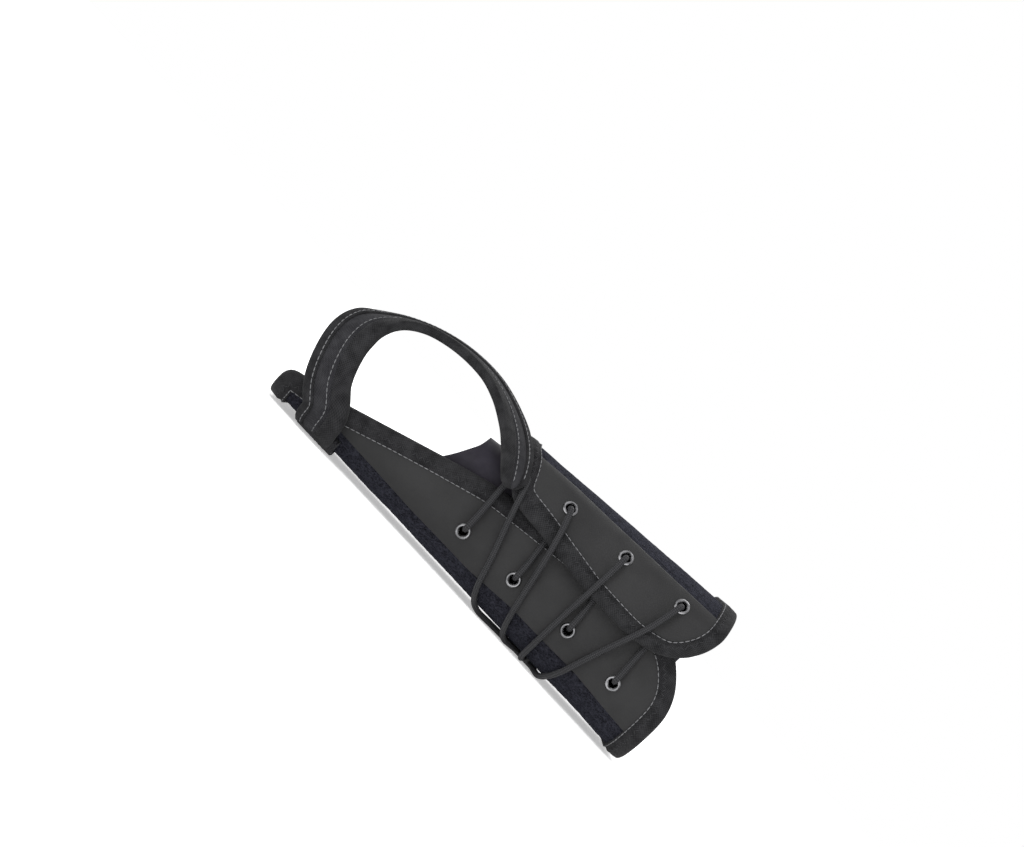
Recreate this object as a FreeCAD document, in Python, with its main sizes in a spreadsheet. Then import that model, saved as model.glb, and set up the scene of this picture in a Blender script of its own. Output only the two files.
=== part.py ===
import FreeCAD, Part

import math
import os

import Sketcher
from FreeCAD import Placement, Rotation, Vector

# Left wrist splint with elastic lacing, in millimetres.
# +X runs from the hand to the elbow, +Z from the back of the hand to the palm, and -Y to the thumb side.
# The splint lies on its dorsal side: z = 0 is the underside of the pull tab and of the strap anchor.

doc = FreeCAD.newDocument("wrist_splint")

# ---------------------------------------------------------------- driving dimensions

sheet = doc.addObject("Spreadsheet::Sheet", "sizes")
CELLS = [
    # the oval section of the arm, which every soft shell follows at its own offset
    ("wrist_half_width", 35.0),
    ("wrist_place", -20.0),
    ("width_flare", 0.0006),
    ("dorsal_level", 2.8),
    ("crown_level", 61.0),
    ("crown_slope", 0.165),
    ("corner_share", 0.7),
    ("station_0", -104.0),
    ("station_1", -60.0),
    ("station_2", -15.0),
    ("station_3", 40.0),
    ("station_4", 104.0),
    # layers of the dorsal shell, as offsets from the oval
    ("tongue_in", -6.1),
    ("tongue_out", -5.0),
    ("dorsal_binding_in", -4.8),
    ("dorsal_liner_in", -4.6),
    ("dorsal_liner_out", -3.65),
    ("dorsal_panel_in", -3.6),
    ("dorsal_panel_out", 0.0),
    ("dorsal_facing_in", 0.05),
    ("dorsal_facing_out", 1.1),
    ("dorsal_binding_out", 1.3),
    ("anchor_in", 0.2),
    ("anchor_out", 2.8),
    # layers of the palmar flap
    ("palmar_binding_in", 1.75),
    ("palmar_liner_in", 1.8),
    ("palmar_liner_out", 2.4),
    ("palmar_panel_in", 2.45),
    ("palmar_panel_out", 4.9),
    ("palmar_facing_in", 4.95),
    ("palmar_facing_out", 6.0),
    ("palmar_binding_out", 6.2),
    ("gusset_in", -1.4),
    ("gusset_out", 1.0),
    # edge binding
    ("binding_lap", -7.5),
    ("binding_rim", 1.2),
    ("half_depth", 70.0),
    # eyelets, washers, laces and knots
    ("eyelet_bore", 1.8),
    ("barrel_radius", 2.3),
    ("flange_radius", 3.1),
    ("flange_height", 0.8),
    ("dorsal_barrel", 7.15),
    ("palmar_barrel", 5.5),
    ("punched_radius", 2.5),
    ("washer_radius", 4.2),
    ("washer_height", 0.7),
    ("lace_radius", 1.15),
    ("lace_groove", 1.4),
    ("knot_ring", 2.3),
    ("knot_section", 1.0),
    # stays and their pockets
    ("stay_width", 20.0),
    ("stay_thickness", 1.6),
    ("pocket_width", 26.0),
    ("pocket_height", 3.2),
    ("pocket_wall", 0.7),
    ("dorsal_stay_length", 170.0),
    ("palmar_stay_length", 86.0),
    ("stay_clearance", 0.1),
    # lace yoke and pull tab
    ("yoke_length", 16.0),
    ("yoke_width", 7.0),
    ("yoke_height", 2.6),
    ("tab_place", 43.0),
    ("tab_width", 20.0),
    ("tab_reach", 40.0),
    ("tab_thickness", 1.25),
    ("hook_height", 1.25),
    ("hook_reach", 20.0),
    ("grip_reach", 10.0),
    # thumb strap
    ("strap_thickness", 2.4),
    ("strap_tape_width", 5.0),
    ("strap_tape_height", 1.0),
    ("anchor_start", -84.0),
    ("anchor_length", 18.0),
    ("anchor_edge", -6.0),
]
for row, (alias, value) in enumerate(CELLS, start=1):
    sheet.set("A%d" % row, alias.replace("_", " "))
    sheet.set("B%d" % row, str(value))
    sheet.setAlias("B%d" % row, alias)
doc.recompute()


def cell(alias):
    return float(getattr(sheet, alias))


nodes = []


def node(obj, name):
    """Marks an object as a sub-part, which is written to parts/ under this name."""
    obj.Label = name
    nodes.append(obj)
    return obj


def add(kind, name):
    return doc.addObject(kind, name)


# ---------------------------------------------------------------- the oval section and its shells

STATIONS = ["station_0", "station_1", "station_2", "station_3", "station_4"]
HALF_WIDTH = "(sizes.wrist_half_width + sizes.width_flare * (sizes.%s - sizes.wrist_place) ^ 2)"
HALF_HEIGHT = "((sizes.crown_level + sizes.crown_slope * sizes.%s - sizes.dorsal_level) / 2)"
ACROSS = Rotation(Vector(1, 1, 1), 120)


def section(place):
    """The arm's oval at a place along X: half width, half height, centre height and corner radius."""
    half_width = cell("wrist_half_width") + cell("width_flare") * (place - cell("wrist_place")) ** 2
    half_height = (cell("crown_level") + cell("crown_slope") * place - cell("dorsal_level")) / 2
    return half_width, half_height, cell("dorsal_level") + half_height, cell("corner_share") * half_height


def oval_sketch(station, offset):
    """A round-cornered oval across the arm at one station, larger than the arm's by an offset."""
    sketch = add("Sketcher::SketchObject", "oval_%s_%s" % (offset, station))
    half_width, half_height, _, corner = section(cell(station))
    grow = cell(offset)
    wide, high, radius = half_width + grow, half_height + grow, corner + grow
    flat_y, flat_z = wide - radius, high - radius
    sides = [
        (Vector(flat_y, high, 0), Vector(-flat_y, high, 0)),
        (Vector(-wide, flat_z, 0), Vector(-wide, -flat_z, 0)),
        (Vector(-flat_y, -high, 0), Vector(flat_y, -high, 0)),
        (Vector(wide, -flat_z, 0), Vector(wide, flat_z, 0)),
    ]
    centres = [(-flat_y, flat_z, 90), (-flat_y, -flat_z, 180), (flat_y, -flat_z, 270), (flat_y, flat_z, 0)]
    for (start, end), (cy, cz, turn) in zip(sides, centres):
        sketch.addGeometry(Part.LineSegment(start, end), False)
        circle = Part.Circle(Vector(cy, cz, 0), Vector(0, 0, 1), radius)
        sketch.addGeometry(Part.ArcOfCircle(circle, math.radians(turn), math.radians(turn + 90)), False)
    for line in (0, 2, 4, 6):
        arc, following = line + 1, (line + 2) % 8
        sketch.addConstraint(Sketcher.Constraint("Tangent", line, 2, arc, 1))
        sketch.addConstraint(Sketcher.Constraint("Tangent", arc, 2, following, 1))
    sketch.addConstraint(Sketcher.Constraint("Horizontal", 0))
    sketch.addConstraint(Sketcher.Constraint("Vertical", 2))
    for arc in (3, 5, 7):
        sketch.addConstraint(Sketcher.Constraint("Equal", 1, arc))
    sketch.addConstraint(Sketcher.Constraint("Symmetric", 0, 1, 4, 1, -1, 1))
    wide_one = sketch.addConstraint(Sketcher.Constraint("Distance", -1, 1, 2, wide))
    high_one = sketch.addConstraint(Sketcher.Constraint("Distance", -1, 1, 0, high))
    round_one = sketch.addConstraint(Sketcher.Constraint("Radius", 1, radius))
    for index, title in ((wide_one, "half_width"), (high_one, "half_height"), (round_one, "corner")):
        sketch.renameConstraint(index, title)
    sketch.setExpression("Constraints.half_width", HALF_WIDTH % station + " + sizes." + offset)
    sketch.setExpression("Constraints.half_height", HALF_HEIGHT % station + " + sizes." + offset)
    sketch.setExpression("Constraints.corner",
                         "sizes.corner_share * " + HALF_HEIGHT % station + " + sizes." + offset)
    sketch.Placement = Placement(Vector(0, 0, 0), ACROSS)
    sketch.setExpression("Placement.Base.x", "sizes." + station)
    sketch.setExpression("Placement.Base.z", "sizes.dorsal_level + " + HALF_HEIGHT % station)
    return sketch


lofts = {}


def oval_loft(offset):
    """The arm's whole form at one offset, lofted through its five ovals."""
    if offset not in lofts:
        loft = add("Part::Loft", "form_" + offset)
        loft.Sections = [oval_sketch(station, offset) for station in STATIONS]
        loft.Solid = True
        loft.Ruled = False
        lofts[offset] = loft
    return lofts[offset]


def cut(name, base, tool):
    obj = add("Part::Cut", name)
    obj.Base = base
    obj.Tool = tool
    return obj


def common(name, *shapes):
    obj = add("Part::MultiCommon", name)
    obj.Shapes = list(shapes)
    return obj


def fuse(name, *shapes):
    obj = add("Part::MultiFuse", name)
    obj.Shapes = list(shapes)
    obj.Refine = True
    return obj


shells = {}


def shell(inner, outer):
    """The layer between two offsets of the arm's form."""
    if (inner, outer) not in shells:
        shells[(inner, outer)] = cut("layer_%s_%s" % (inner, outer), oval_loft(outer), oval_loft(inner))
    return shells[(inner, outer)]


# ---------------------------------------------------------------- outlines in side view (x, z, corner radius)

SIDE = Rotation(Vector(1, 0, 0), 90)


def outline_sketch(name, corners):
    """A closed outline in the XZ plane, with each corner rounded by its own radius."""
    sketch = add("Sketcher::SketchObject", name)
    count = len(corners)
    starts, ends, arcs = [], [], []
    for index in range(count):
        corner = Vector(corners[index][0], corners[index][1], 0)
        before = Vector(corners[index - 1][0], corners[index - 1][1], 0) - corner
        after = Vector(corners[(index + 1) % count][0], corners[(index + 1) % count][1], 0) - corner
        before.normalize()
        after.normalize()
        radius = corners[index][2]
        if radius == 0:
            starts.append(corner)
            ends.append(corner)
            arcs.append(None)
            continue
        half_turn = (math.pi - before.getAngle(after)) / 2
        reach = radius * math.tan(half_turn)
        inward = before + after
        inward.normalize()
        middle = corner + inward * (radius / math.cos(half_turn) - radius)
        starts.append(corner + before * reach)
        ends.append(corner + after * reach)
        arcs.append(Part.Arc(starts[-1], middle, ends[-1]))
    for index in range(count):
        if arcs[index] is not None:
            sketch.addGeometry(arcs[index], False)
        sketch.addGeometry(Part.LineSegment(ends[index], starts[(index + 1) % count]), False)
    for index in range(sketch.GeometryCount):
        sketch.addConstraint(Sketcher.Constraint("Block", index))
    sketch.Placement = Placement(Vector(0, 0, 0), SIDE)
    return sketch


def offset_outline(name, outline, size):
    grown = add("Part::Offset2D", name)
    grown.Source = outline
    grown.setExpression("Value", "sizes." + size)
    return grown


def blank(name, outline, towards):
    """An outline swept through half of the splint: -1 towards the thumb side, +1 towards the other."""
    block = add("Part::Extrusion", name)
    block.Base = outline
    block.DirMode = "Custom"
    block.Dir = Vector(0, towards, 0)
    block.setExpression("LengthFwd", "sizes.half_depth")
    block.Solid = True
    return block


BELOW = -14.0
ABOVE = 95.0
DORSAL_RADIAL = [(-100, BELOW, 0), (-100, 12.5, 5), (-77, 17.8, 40), (-35, 32.1, 60), (-12, 39.5, 60),
                 (40, 47.5, 80), (78, 49, 14), (95, 33, 14), (97, BELOW, 0)]
DORSAL_ULNAR = [(-100, BELOW, 0), (-100, 8, 5), (-60, 20, 60), (-14, 24.5, 60), (96, 32.5, 8), (97, BELOW, 0)]
PALMAR_RADIAL = [(-17.5, ABOVE, 0), (-17.5, 67.5, 8), (-4, 54, 8), (0.4, 41.6, 3), (20, 40.8, 80),
                 (40, 39.4, 80), (63, 39.2, 20), (80, 43.5, 13), (89, 58, 14), (88, ABOVE, 0)]
PALMAR_ULNAR = [(-17.5, ABOVE, 0), (-17.5, 39.6, 5), (88, 48, 5), (88, ABOVE, 0)]
GUSSET = [(-12, 26.3, 2), (86, 33.4, 2), (86, 46.1, 2), (-12, 38.2, 2)]
TONGUE = [(-28, ABOVE, 0), (-28.5, 55, 20), (-33, 37, 20), (-38.5, 28, 2), (84, 28, 4), (84, ABOVE, 0)]
DORSAL_FACING = [(-95, 11.5, 0), (-28, 10.6, 0), (2, 10.8, 0), (26, 13, 0), (60, 13.8, 0), (99, 12.5, 0),
                 (99, 60, 0), (-95, 60, 0)]
PALMAR_FACING = [(-30, 30, 0), (99, 30, 0), (99, 72, 0), (80, 70.1, 0), (10, 63.3, 0), (-15.5, 59.8, 0),
                 (-30, 57.8, 0)]


class Cloth:
    """One cut panel: its outline on both halves, and the same outline moved in or out for the binding."""

    def __init__(self, name, radial, ulnar):
        self.name = name
        self.radial = outline_sketch(name + "_radial_outline", radial)
        self.ulnar = outline_sketch(name + "_ulnar_outline", ulnar)
        self.whole = self.both("cut", None)
        self.field = self.both("field", "binding_lap")
        self.grown = self.both("grown", "binding_rim")

    def both(self, word, size):
        sides = []
        for half, outline, towards in (("radial", self.radial, -1), ("ulnar", self.ulnar, 1)):
            title = "%s_%s_%s" % (self.name, half, word)
            source = outline if size is None else offset_outline(title + "_line", outline, size)
            sides.append(blank(title, source, towards))
        return fuse(self.name + "_" + word, *sides)


dorsal = Cloth("dorsal", DORSAL_RADIAL, DORSAL_ULNAR)
palmar = Cloth("palmar", PALMAR_RADIAL, PALMAR_ULNAR)

# ---------------------------------------------------------------- points and frames on the shells


def depth(place, height, offset):
    """How far the thumb side of an offset surface stands from the middle plane."""
    half_width, half_height, centre, corner = section(place)
    above = abs(height - centre) - (half_height - corner)
    if above <= 0:
        return half_width + offset
    radius = corner + offset
    return half_width - corner + math.sqrt(radius * radius - above * above)


def outward(place, height, offset):
    """The point of the thumb side at a place and a height on an offset surface, and its outward normal."""
    step = 0.5
    along = (depth(place - step, height, offset) - depth(place + step, height, offset)) / (2 * step)
    upward = (depth(place, height - step, offset) - depth(place, height + step, offset)) / (2 * step)
    normal = Vector(along, -1, upward)
    normal.normalize()
    return Vector(place, -depth(place, height, offset), height), normal


def standing(place, height, level, lift):
    """A placement whose Z axis is the outward normal at a point of an offset surface, lifted by lift."""
    point, normal = outward(place, height, cell(level))
    return Placement(point + normal * lift, Rotation(Vector(0, 0, 1), normal))


DORSAL_HOLES = [(-8.7, 19.4), (18.2, 20.9), (46.7, 22.9), (73.2, 21.9)]
PALMAR_HOLES = [(13.0, 55.4), (41.3, 58.1), (69.4, 61.0)]


def body_from_profile(name, points_of, height_names):
    """A PartDesign body turned about its own Z axis from a closed profile of (radius, height) points."""
    body = add("PartDesign::Body", name)
    plane = next(f for f in body.Origin.OriginFeatures if f.Role == "XZ_Plane")
    axis = next(f for f in body.Origin.OriginFeatures if f.Role == "Z_Axis")
    sketch = body.newObject("Sketcher::SketchObject", name + "_profile")
    sketch.AttachmentSupport = [(plane, "")]
    sketch.MapMode = "FlatFace"
    points = [Vector(r, up, 0) for r, up in points_of]
    count = len(points)
    for index in range(count):
        sketch.addGeometry(Part.LineSegment(points[index], points[(index + 1) % count]), False)
    for index in range(count):
        sketch.addConstraint(Sketcher.Constraint("Coincident", index, 2, (index + 1) % count, 1))
    for index, (radial_size, upward_size) in enumerate(height_names):
        for kind, value, size in (("DistanceX", points[index].x, radial_size),
                                  ("DistanceY", points[index].y, upward_size)):
            number = sketch.addConstraint(Sketcher.Constraint(kind, -1, 1, index, 1, value))
            if size is not None:
                title = "%s_%d" % (kind.lower(), index)
                sketch.renameConstraint(number, title)
                sketch.setExpression("Constraints." + title, size)
    turned = body.newObject("PartDesign::Revolution", name + "_turned")
    turned.Profile = sketch
    turned.ReferenceAxis = (axis, [""])
    turned.Angle = 360.0
    body.Tip = turned
    return body


def eyelet_master(name, barrel):
    """A rolled eyelet: a flange that stands on the facing, and a barrel down through the layers."""
    bore, outer, flange = cell("eyelet_bore"), cell("barrel_radius"), cell("flange_radius")
    rise, length = cell("flange_height"), cell(barrel)
    profile = [(bore, -length), (outer, -length), (outer, 0.001), (flange, 0.001), (flange, rise * 0.5),
               (flange - 0.35, rise), (bore + 0.45, rise), (bore, rise * 0.4)]
    sizes = [("sizes.eyelet_bore", "-sizes." + barrel), ("sizes.barrel_radius", "-sizes." + barrel),
             ("sizes.barrel_radius", None), ("sizes.flange_radius", None),
             ("sizes.flange_radius", "sizes.flange_height * 0.5"),
             ("sizes.flange_radius - 0.35", "sizes.flange_height"),
             ("sizes.eyelet_bore + 0.45", "sizes.flange_height"),
             ("sizes.eyelet_bore", "sizes.flange_height * 0.4")]
    return body_from_profile(name, profile, sizes)


def ring(name, inner, outer, height):
    """A flat ring between two radii, standing on its own XY plane."""
    disc = add("Part::Cylinder", name + "_disc")
    disc.setExpression("Radius", outer)
    disc.setExpression("Height", height)
    hole = add("Part::Cylinder", name + "_hole")
    hole.setExpression("Radius", inner)
    hole.setExpression("Height", height)
    return cut(name, disc, hole)


def group(name, master, places):
    """Copies of one master shape at several places, as one node of separate solids."""
    doc.recompute()
    copies = add("Part::Feature", name)
    solids = []
    for spot in places:
        solid = master.Shape.copy()
        solid.Placement = spot
        solids.append(solid)
    copies.Shape = Part.makeCompound(solids)
    copies.Placement = Placement()
    return node(copies, name)


# ---------------------------------------------------------------- cords: straight runs and tangent arcs

def cord_path(points, title):
    """Runs between the points, joined by arcs as large as the two runs beside each point allow."""
    vectors = [Vector(*point) for point in points]
    edges, at, radii = [], vectors[0], []
    for index in range(1, len(vectors) - 1):
        corner = vectors[index]
        back, ahead = vectors[index - 1] - corner, vectors[index + 1] - corner
        shorter = min(back.Length, ahead.Length)
        back.normalize()
        ahead.normalize()
        half_turn = (math.pi - back.getAngle(ahead)) / 2
        reach = 0.45 * shorter
        radius = reach / math.tan(half_turn)
        radii.append(radius)
        inward = back + ahead
        inward.normalize()
        middle = corner + inward * (radius / math.cos(half_turn) - radius)
        edges.append(Part.LineSegment(at, corner + back * reach).toShape())
        edges.append(Part.Arc(corner + back * reach, middle, corner + ahead * reach).toShape())
        at = corner + ahead * reach
    edges.append(Part.LineSegment(at, vectors[-1]).toShape())
    print(title, "arc radii", [round(r, 1) for r in radii])
    return Part.Wire(edges)


def cord_solid(points, radius, title):
    path = cord_path(points, title)
    first = path.Edges[0]
    circle = Part.Circle(first.Vertexes[0].Point, first.tangentAt(first.FirstParameter), radius)
    tube = path.makePipeShell([Part.Wire(circle.toShape())], True, True)
    expected = math.pi * radius * radius * path.Length
    print(title, "length", round(path.Length, 1), "volume ratio", round(tube.Volume / expected, 4))
    return tube


LACE_ROUTES = {
    "lace_1": [(-8.7, -26.5, 20.8), (-8.7, -38.8, 18.7), (-9.2, -38.4, 27.5), (-10.2, -38.3, 36.0),
               (-11.0, -37.5, 43.5), (-10.6, -36.4, 50.0), (-6.8, -38.8, 52.4), (-4.6, -42.0, 47.5),
               (-2.2, -41.2, 41.0), (1.0, -38.8, 33.0), (4.6, -38.3, 24.5), (7.4, -37.4, 17.2),
               (11.0, -31.3, 7.0), (16.0, -20.7, 1.0), (26.0, -17.0, 1.4), (35.0, -14.0, 1.4),
               (37.6, -8.6, 1.4)],
    "lace_2": [(18.5, -27.3, 22.2), (18.1, -39.6, 20.3), (17.6, -38.7, 28.0), (16.6, -37.9, 35.0),
               (15.6, -37.3, 40.5), (14.8, -37.0, 46.4), (13.8, -30.7, 51.2), (12.7, -41.4, 57.3),
               (16.0, -43.6, 49.5), (18.2, -43.9, 43.0), (20.6, -41.4, 35.5), (22.8, -39.0, 27.4),
               (25.2, -38.1, 18.3), (28.4, -31.9, 7.3), (32.0, -20.9, 1.0), (38.0, -14.5, 1.4),
               (41.2, -8.6, 1.4)],
    "lace_3": [(47.3, -29.2, 24.0), (46.4, -41.4, 22.4), (45.8, -40.5, 30.0), (44.6, -39.6, 37.0),
               (43.8, -39.0, 43.6), (43.2, -38.4, 50.0), (42.4, -32.5, 54.2), (40.9, -43.5, 59.8),
               (41.2, -45.6, 52.0), (41.1, -45.3, 44.0), (41.2, -42.8, 36.0), (41.2, -40.1, 28.2),
               (41.3, -39.2, 18.9), (41.8, -32.6, 7.5), (42.8, -21.2, 1.0), (44.2, -14.5, 1.4),
               (44.8, -8.6, 1.4)],
    "lace_4": [(74.0, -31.4, 23.8), (72.8, -43.5, 21.0), (72.4, -43.0, 28.5), (71.6, -42.1, 36.0),
               (71.2, -41.6, 44.5), (71.0, -41.1, 51.2), (70.7, -35.2, 57.4), (68.9, -46.3, 62.5),
               (67.8, -48.0, 54.5), (66.2, -47.6, 45.5), (63.8, -44.6, 36.8), (61.4, -41.9, 28.4),
               (59.0, -40.6, 19.7), (56.4, -33.6, 7.7), (53.4, -21.6, 1.0), (50.2, -14.5, 1.4),
               (48.4, -8.6, 1.4)],
}

grooves = []
laces = {}
for lace, route in LACE_ROUTES.items():
    cord = add("Part::Feature", lace)
    cord.Shape = cord_solid(route, cell("lace_radius"), lace)
    cord.Placement = Placement()
    laces[lace] = cord
    groove = add("Part::Feature", lace + "_groove")
    groove.Shape = cord_solid(route[1:-2], cell("lace_groove"), lace + " groove")
    groove.Placement = Placement()
    grooves.append(groove)

pressed = add("Part::Compound", "lace_grooves")
pressed.Links = grooves


def punched(name, places):
    """Cylinders that punch the eyelets' holes through every layer."""
    tools = []
    for index, spot in enumerate(places):
        drill = add("Part::Cylinder", "%s_%d" % (name, index + 1))
        drill.setExpression("Radius", "sizes.punched_radius")
        drill.Height = 16
        drill.Placement = spot.multiply(Placement(Vector(0, 0, -10), Rotation()))
        tools.append(drill)
    tool = add("Part::Compound", name)
    tool.Links = tools
    return tool


dorsal_punch = punched("dorsal_punch", [standing(x, z, "dorsal_panel_out", 0) for x, z in DORSAL_HOLES])
palmar_punch = punched("palmar_punch", [standing(x, z, "palmar_facing_out", 0) for x, z in PALMAR_HOLES])

# ---------------------------------------------------------------- dorsal shell


def cloth_layer(name, inner, outer, region, *tools):
    """A layer between two offsets inside a region, less its tools."""
    made = common(name + "_whole" if tools else name, shell(inner, outer), region)
    for index, tool in enumerate(tools):
        last = index == len(tools) - 1
        made = cut(name if last else "%s_step_%d" % (name, index + 1), made, tool)
    return made


def binding(name, inner, outer, core_inner, core_outer, cloth, *tools):
    """Folded tape round a panel's edge: a layer over both faces and a rim past the edge."""
    band = cut(name + "_band", cloth.grown, cloth.field)
    wrap = common(name + "_wrap", shell(inner, outer), band)
    core = common(name + "_core", shell(core_inner, core_outer), cloth.whole)
    made = cut(name + "_fold" if tools else name, wrap, core)
    for index, tool in enumerate(tools):
        last = index == len(tools) - 1
        made = cut(name if last else "%s_step_%d" % (name, index + 1), made, tool)
    return made


node(cloth_layer("dorsal_panel", "dorsal_panel_in", "dorsal_panel_out", dorsal.whole,
                 dorsal_punch, pressed), "dorsal_panel")
node(cloth_layer("dorsal_liner", "dorsal_liner_in", "dorsal_liner_out", dorsal.field, dorsal_punch),
     "dorsal_liner")
facing_field = common("dorsal_facing_field", dorsal.field,
                      blank("dorsal_facing_cut", outline_sketch("dorsal_facing_outline", DORSAL_FACING), -1))
node(cloth_layer("dorsal_facing", "dorsal_facing_in", "dorsal_facing_out", facing_field,
                 dorsal_punch, pressed), "dorsal_facing")
node(binding("dorsal_binding", "dorsal_binding_in", "dorsal_binding_out", "dorsal_liner_out",
             "dorsal_facing_in", dorsal, pressed), "dorsal_binding")
tongue_cut = blank("tongue_cut", outline_sketch("tongue_outline", TONGUE), -1)
node(cloth_layer("tongue", "tongue_in", "tongue_out", tongue_cut), "tongue")
gusset_cut = blank("gusset_cut", outline_sketch("gusset_outline", GUSSET), 1)
node(cloth_layer("ulnar_gusset", "gusset_in", "gusset_out", gusset_cut), "ulnar_gusset")

eyelet_long = eyelet_master("dorsal_eyelet_form", "dorsal_barrel")
eyelet_short = eyelet_master("palmar_eyelet_form", "palmar_barrel")
washer_form = ring("washer_form", "sizes.punched_radius", "sizes.washer_radius", "sizes.washer_height")
knot_form = add("Part::Torus", "knot_form")
knot_form.setExpression("Radius1", "sizes.knot_ring")
knot_form.setExpression("Radius2", "sizes.knot_section")

DORSAL_SEAT = cell("dorsal_facing_out") + 0.08
PALMAR_SEAT = 0.08
group("dorsal_eyelets", eyelet_long, [standing(x, z, "dorsal_panel_out", DORSAL_SEAT) for x, z in DORSAL_HOLES])
group("dorsal_washers", washer_form, [standing(x, z, "dorsal_panel_out", -6.0) for x, z in DORSAL_HOLES])
group("lace_knots", knot_form, [standing(x, z, "dorsal_panel_out", -7.4) for x, z in DORSAL_HOLES])
for lace in laces:
    node(laces[lace], lace)

# ---------------------------------------------------------------- stays and their pockets


def bar_body(name, length, width, height, corner_radius):
    """A flat bar centred on its origin, standing on its XY plane, with rounded corners."""
    body = add("PartDesign::Body", name)
    plane = next(f for f in body.Origin.OriginFeatures if f.Role == "XY_Plane")
    sketch = body.newObject("Sketcher::SketchObject", name + "_sketch")
    sketch.AttachmentSupport = [(plane, "")]
    sketch.MapMode = "FlatFace"
    ends = [Vector(10, 5, 0), Vector(-10, 5, 0), Vector(-10, -5, 0), Vector(10, -5, 0)]
    for index in range(4):
        sketch.addGeometry(Part.LineSegment(ends[index], ends[(index + 1) % 4]), False)
    for index in range(4):
        sketch.addConstraint(Sketcher.Constraint("Coincident", index, 2, (index + 1) % 4, 1))
    sketch.addConstraint(Sketcher.Constraint("Horizontal", 0))
    sketch.addConstraint(Sketcher.Constraint("Horizontal", 2))
    sketch.addConstraint(Sketcher.Constraint("Vertical", 1))
    sketch.addConstraint(Sketcher.Constraint("Vertical", 3))
    sketch.addConstraint(Sketcher.Constraint("Symmetric", 0, 1, 2, 1, -1, 1))
    long_one = sketch.addConstraint(Sketcher.Constraint("DistanceX", 1, 1, 0, 1, 20.0))
    wide_one = sketch.addConstraint(Sketcher.Constraint("DistanceY", 3, 1, 0, 1, 10.0))
    sketch.renameConstraint(long_one, "length")
    sketch.renameConstraint(wide_one, "width")
    sketch.setExpression("Constraints.length", length)
    sketch.setExpression("Constraints.width", width)
    pad = body.newObject("PartDesign::Pad", name + "_pad")
    pad.Profile = sketch
    pad.setExpression("Length", height)
    doc.recompute()
    body.Tip = pad
    if corner_radius:
        upright = ["Edge%d" % (index + 1) for index, edge in enumerate(pad.Shape.Edges)
                   if abs(edge.tangentAt(edge.FirstParameter).z) > 0.99]
        rounded = body.newObject("PartDesign::Fillet", name + "_rounded")
        rounded.Base = (pad, upright)
        rounded.Radius = corner_radius
        body.Tip = rounded
    return body


def pocket_and_stay(side, length, spot):
    """A stitched sleeve with a flat metal stay inside it, at one placement."""
    sleeve = bar_body(side + "_pocket_block", "sizes.%s + 8" % length, "sizes.pocket_width",
                      "sizes.pocket_height", 3.0)
    sleeve.Placement = spot
    room = bar_body(side + "_pocket_room", "sizes.%s + 4 * sizes.stay_clearance" % length,
                    "sizes.stay_width + 4 * sizes.stay_clearance",
                    "sizes.stay_thickness + 2 * sizes.stay_clearance", 0)
    lift = Placement(Vector(0, 0, cell("pocket_wall")), Rotation())
    room.Placement = spot.multiply(lift)
    node(cut(side + "_stay_pocket", sleeve, room), side + "_stay_pocket")
    stay = bar_body(side + "_stay", "sizes." + length, "sizes.stay_width", "sizes.stay_thickness", 6.0)
    rest = Placement(Vector(0, 0, cell("pocket_wall") + cell("stay_clearance")), Rotation())
    stay.Placement = spot.multiply(rest)
    node(stay, side + "_stay")


dorsal_floor = cell("dorsal_level") - cell("dorsal_liner_in") + 0.4
pocket_and_stay("dorsal", "dorsal_stay_length", Placement(Vector(-3, 0, dorsal_floor), Rotation()))

# ---------------------------------------------------------------- palmar flap

node(cloth_layer("palmar_panel", "palmar_panel_in", "palmar_panel_out", palmar.whole, palmar_punch, pressed),
     "palmar_panel")
node(cloth_layer("palmar_liner", "palmar_liner_in", "palmar_liner_out", palmar.field, palmar_punch, pressed),
     "palmar_liner")
palmar_field = common("palmar_facing_field", palmar.field,
                      blank("palmar_facing_cut", outline_sketch("palmar_facing_outline", PALMAR_FACING), -1))
node(cloth_layer("palmar_facing", "palmar_facing_in", "palmar_facing_out", palmar_field,
                 palmar_punch, pressed), "palmar_facing")
node(binding("palmar_binding", "palmar_binding_in", "palmar_binding_out", "palmar_liner_out",
             "palmar_facing_in", palmar, pressed), "palmar_binding")
group("palmar_eyelets", eyelet_short,
      [standing(x, z, "palmar_facing_out", PALMAR_SEAT) for x, z in PALMAR_HOLES])
group("palmar_washers", washer_form, [standing(x, z, "palmar_facing_out", -5.4) for x, z in PALMAR_HOLES])

crown_tilt = Rotation(Vector(0, 1, 0), -math.degrees(math.atan(cell("crown_slope"))))
palmar_middle = 34.5
palmar_ceiling = cell("crown_level") + cell("crown_slope") * palmar_middle + cell("palmar_liner_in") - 0.15
palmar_spot = Placement(Vector(palmar_middle, 0, palmar_ceiling), crown_tilt)
pocket_and_stay("palmar", "palmar_stay_length",
                palmar_spot.multiply(Placement(Vector(0, 0, -cell("pocket_height")), Rotation())))

# ---------------------------------------------------------------- lace yoke and pull tab

TAB_START = 0.0
yoke = bar_body("lace_yoke", "sizes.yoke_length", "sizes.yoke_width", "sizes.yoke_height", 1.5)
yoke.Placement = Placement(Vector(cell("tab_place"), -8 + cell("yoke_width") / 2, 0), Rotation())
node(yoke, "lace_yoke")
tab = bar_body("pull_tab", "sizes.tab_width", "sizes.tab_reach", "sizes.tab_thickness", 1.0)
tab.Placement = Placement(Vector(cell("tab_place"), TAB_START + cell("tab_reach") / 2, 0), Rotation())
node(tab, "pull_tab")
hook = bar_body("pull_tab_hook_patch", "sizes.tab_width - 2", "sizes.hook_reach", "sizes.hook_height", 2.0)
hook.Placement = Placement(Vector(cell("tab_place"), 13, cell("tab_thickness") + 0.05), Rotation())
node(hook, "pull_tab_hook_patch")
grip = bar_body("pull_tab_grip", "sizes.tab_width - 2", "sizes.grip_reach", "sizes.hook_height", 3.0)
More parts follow.
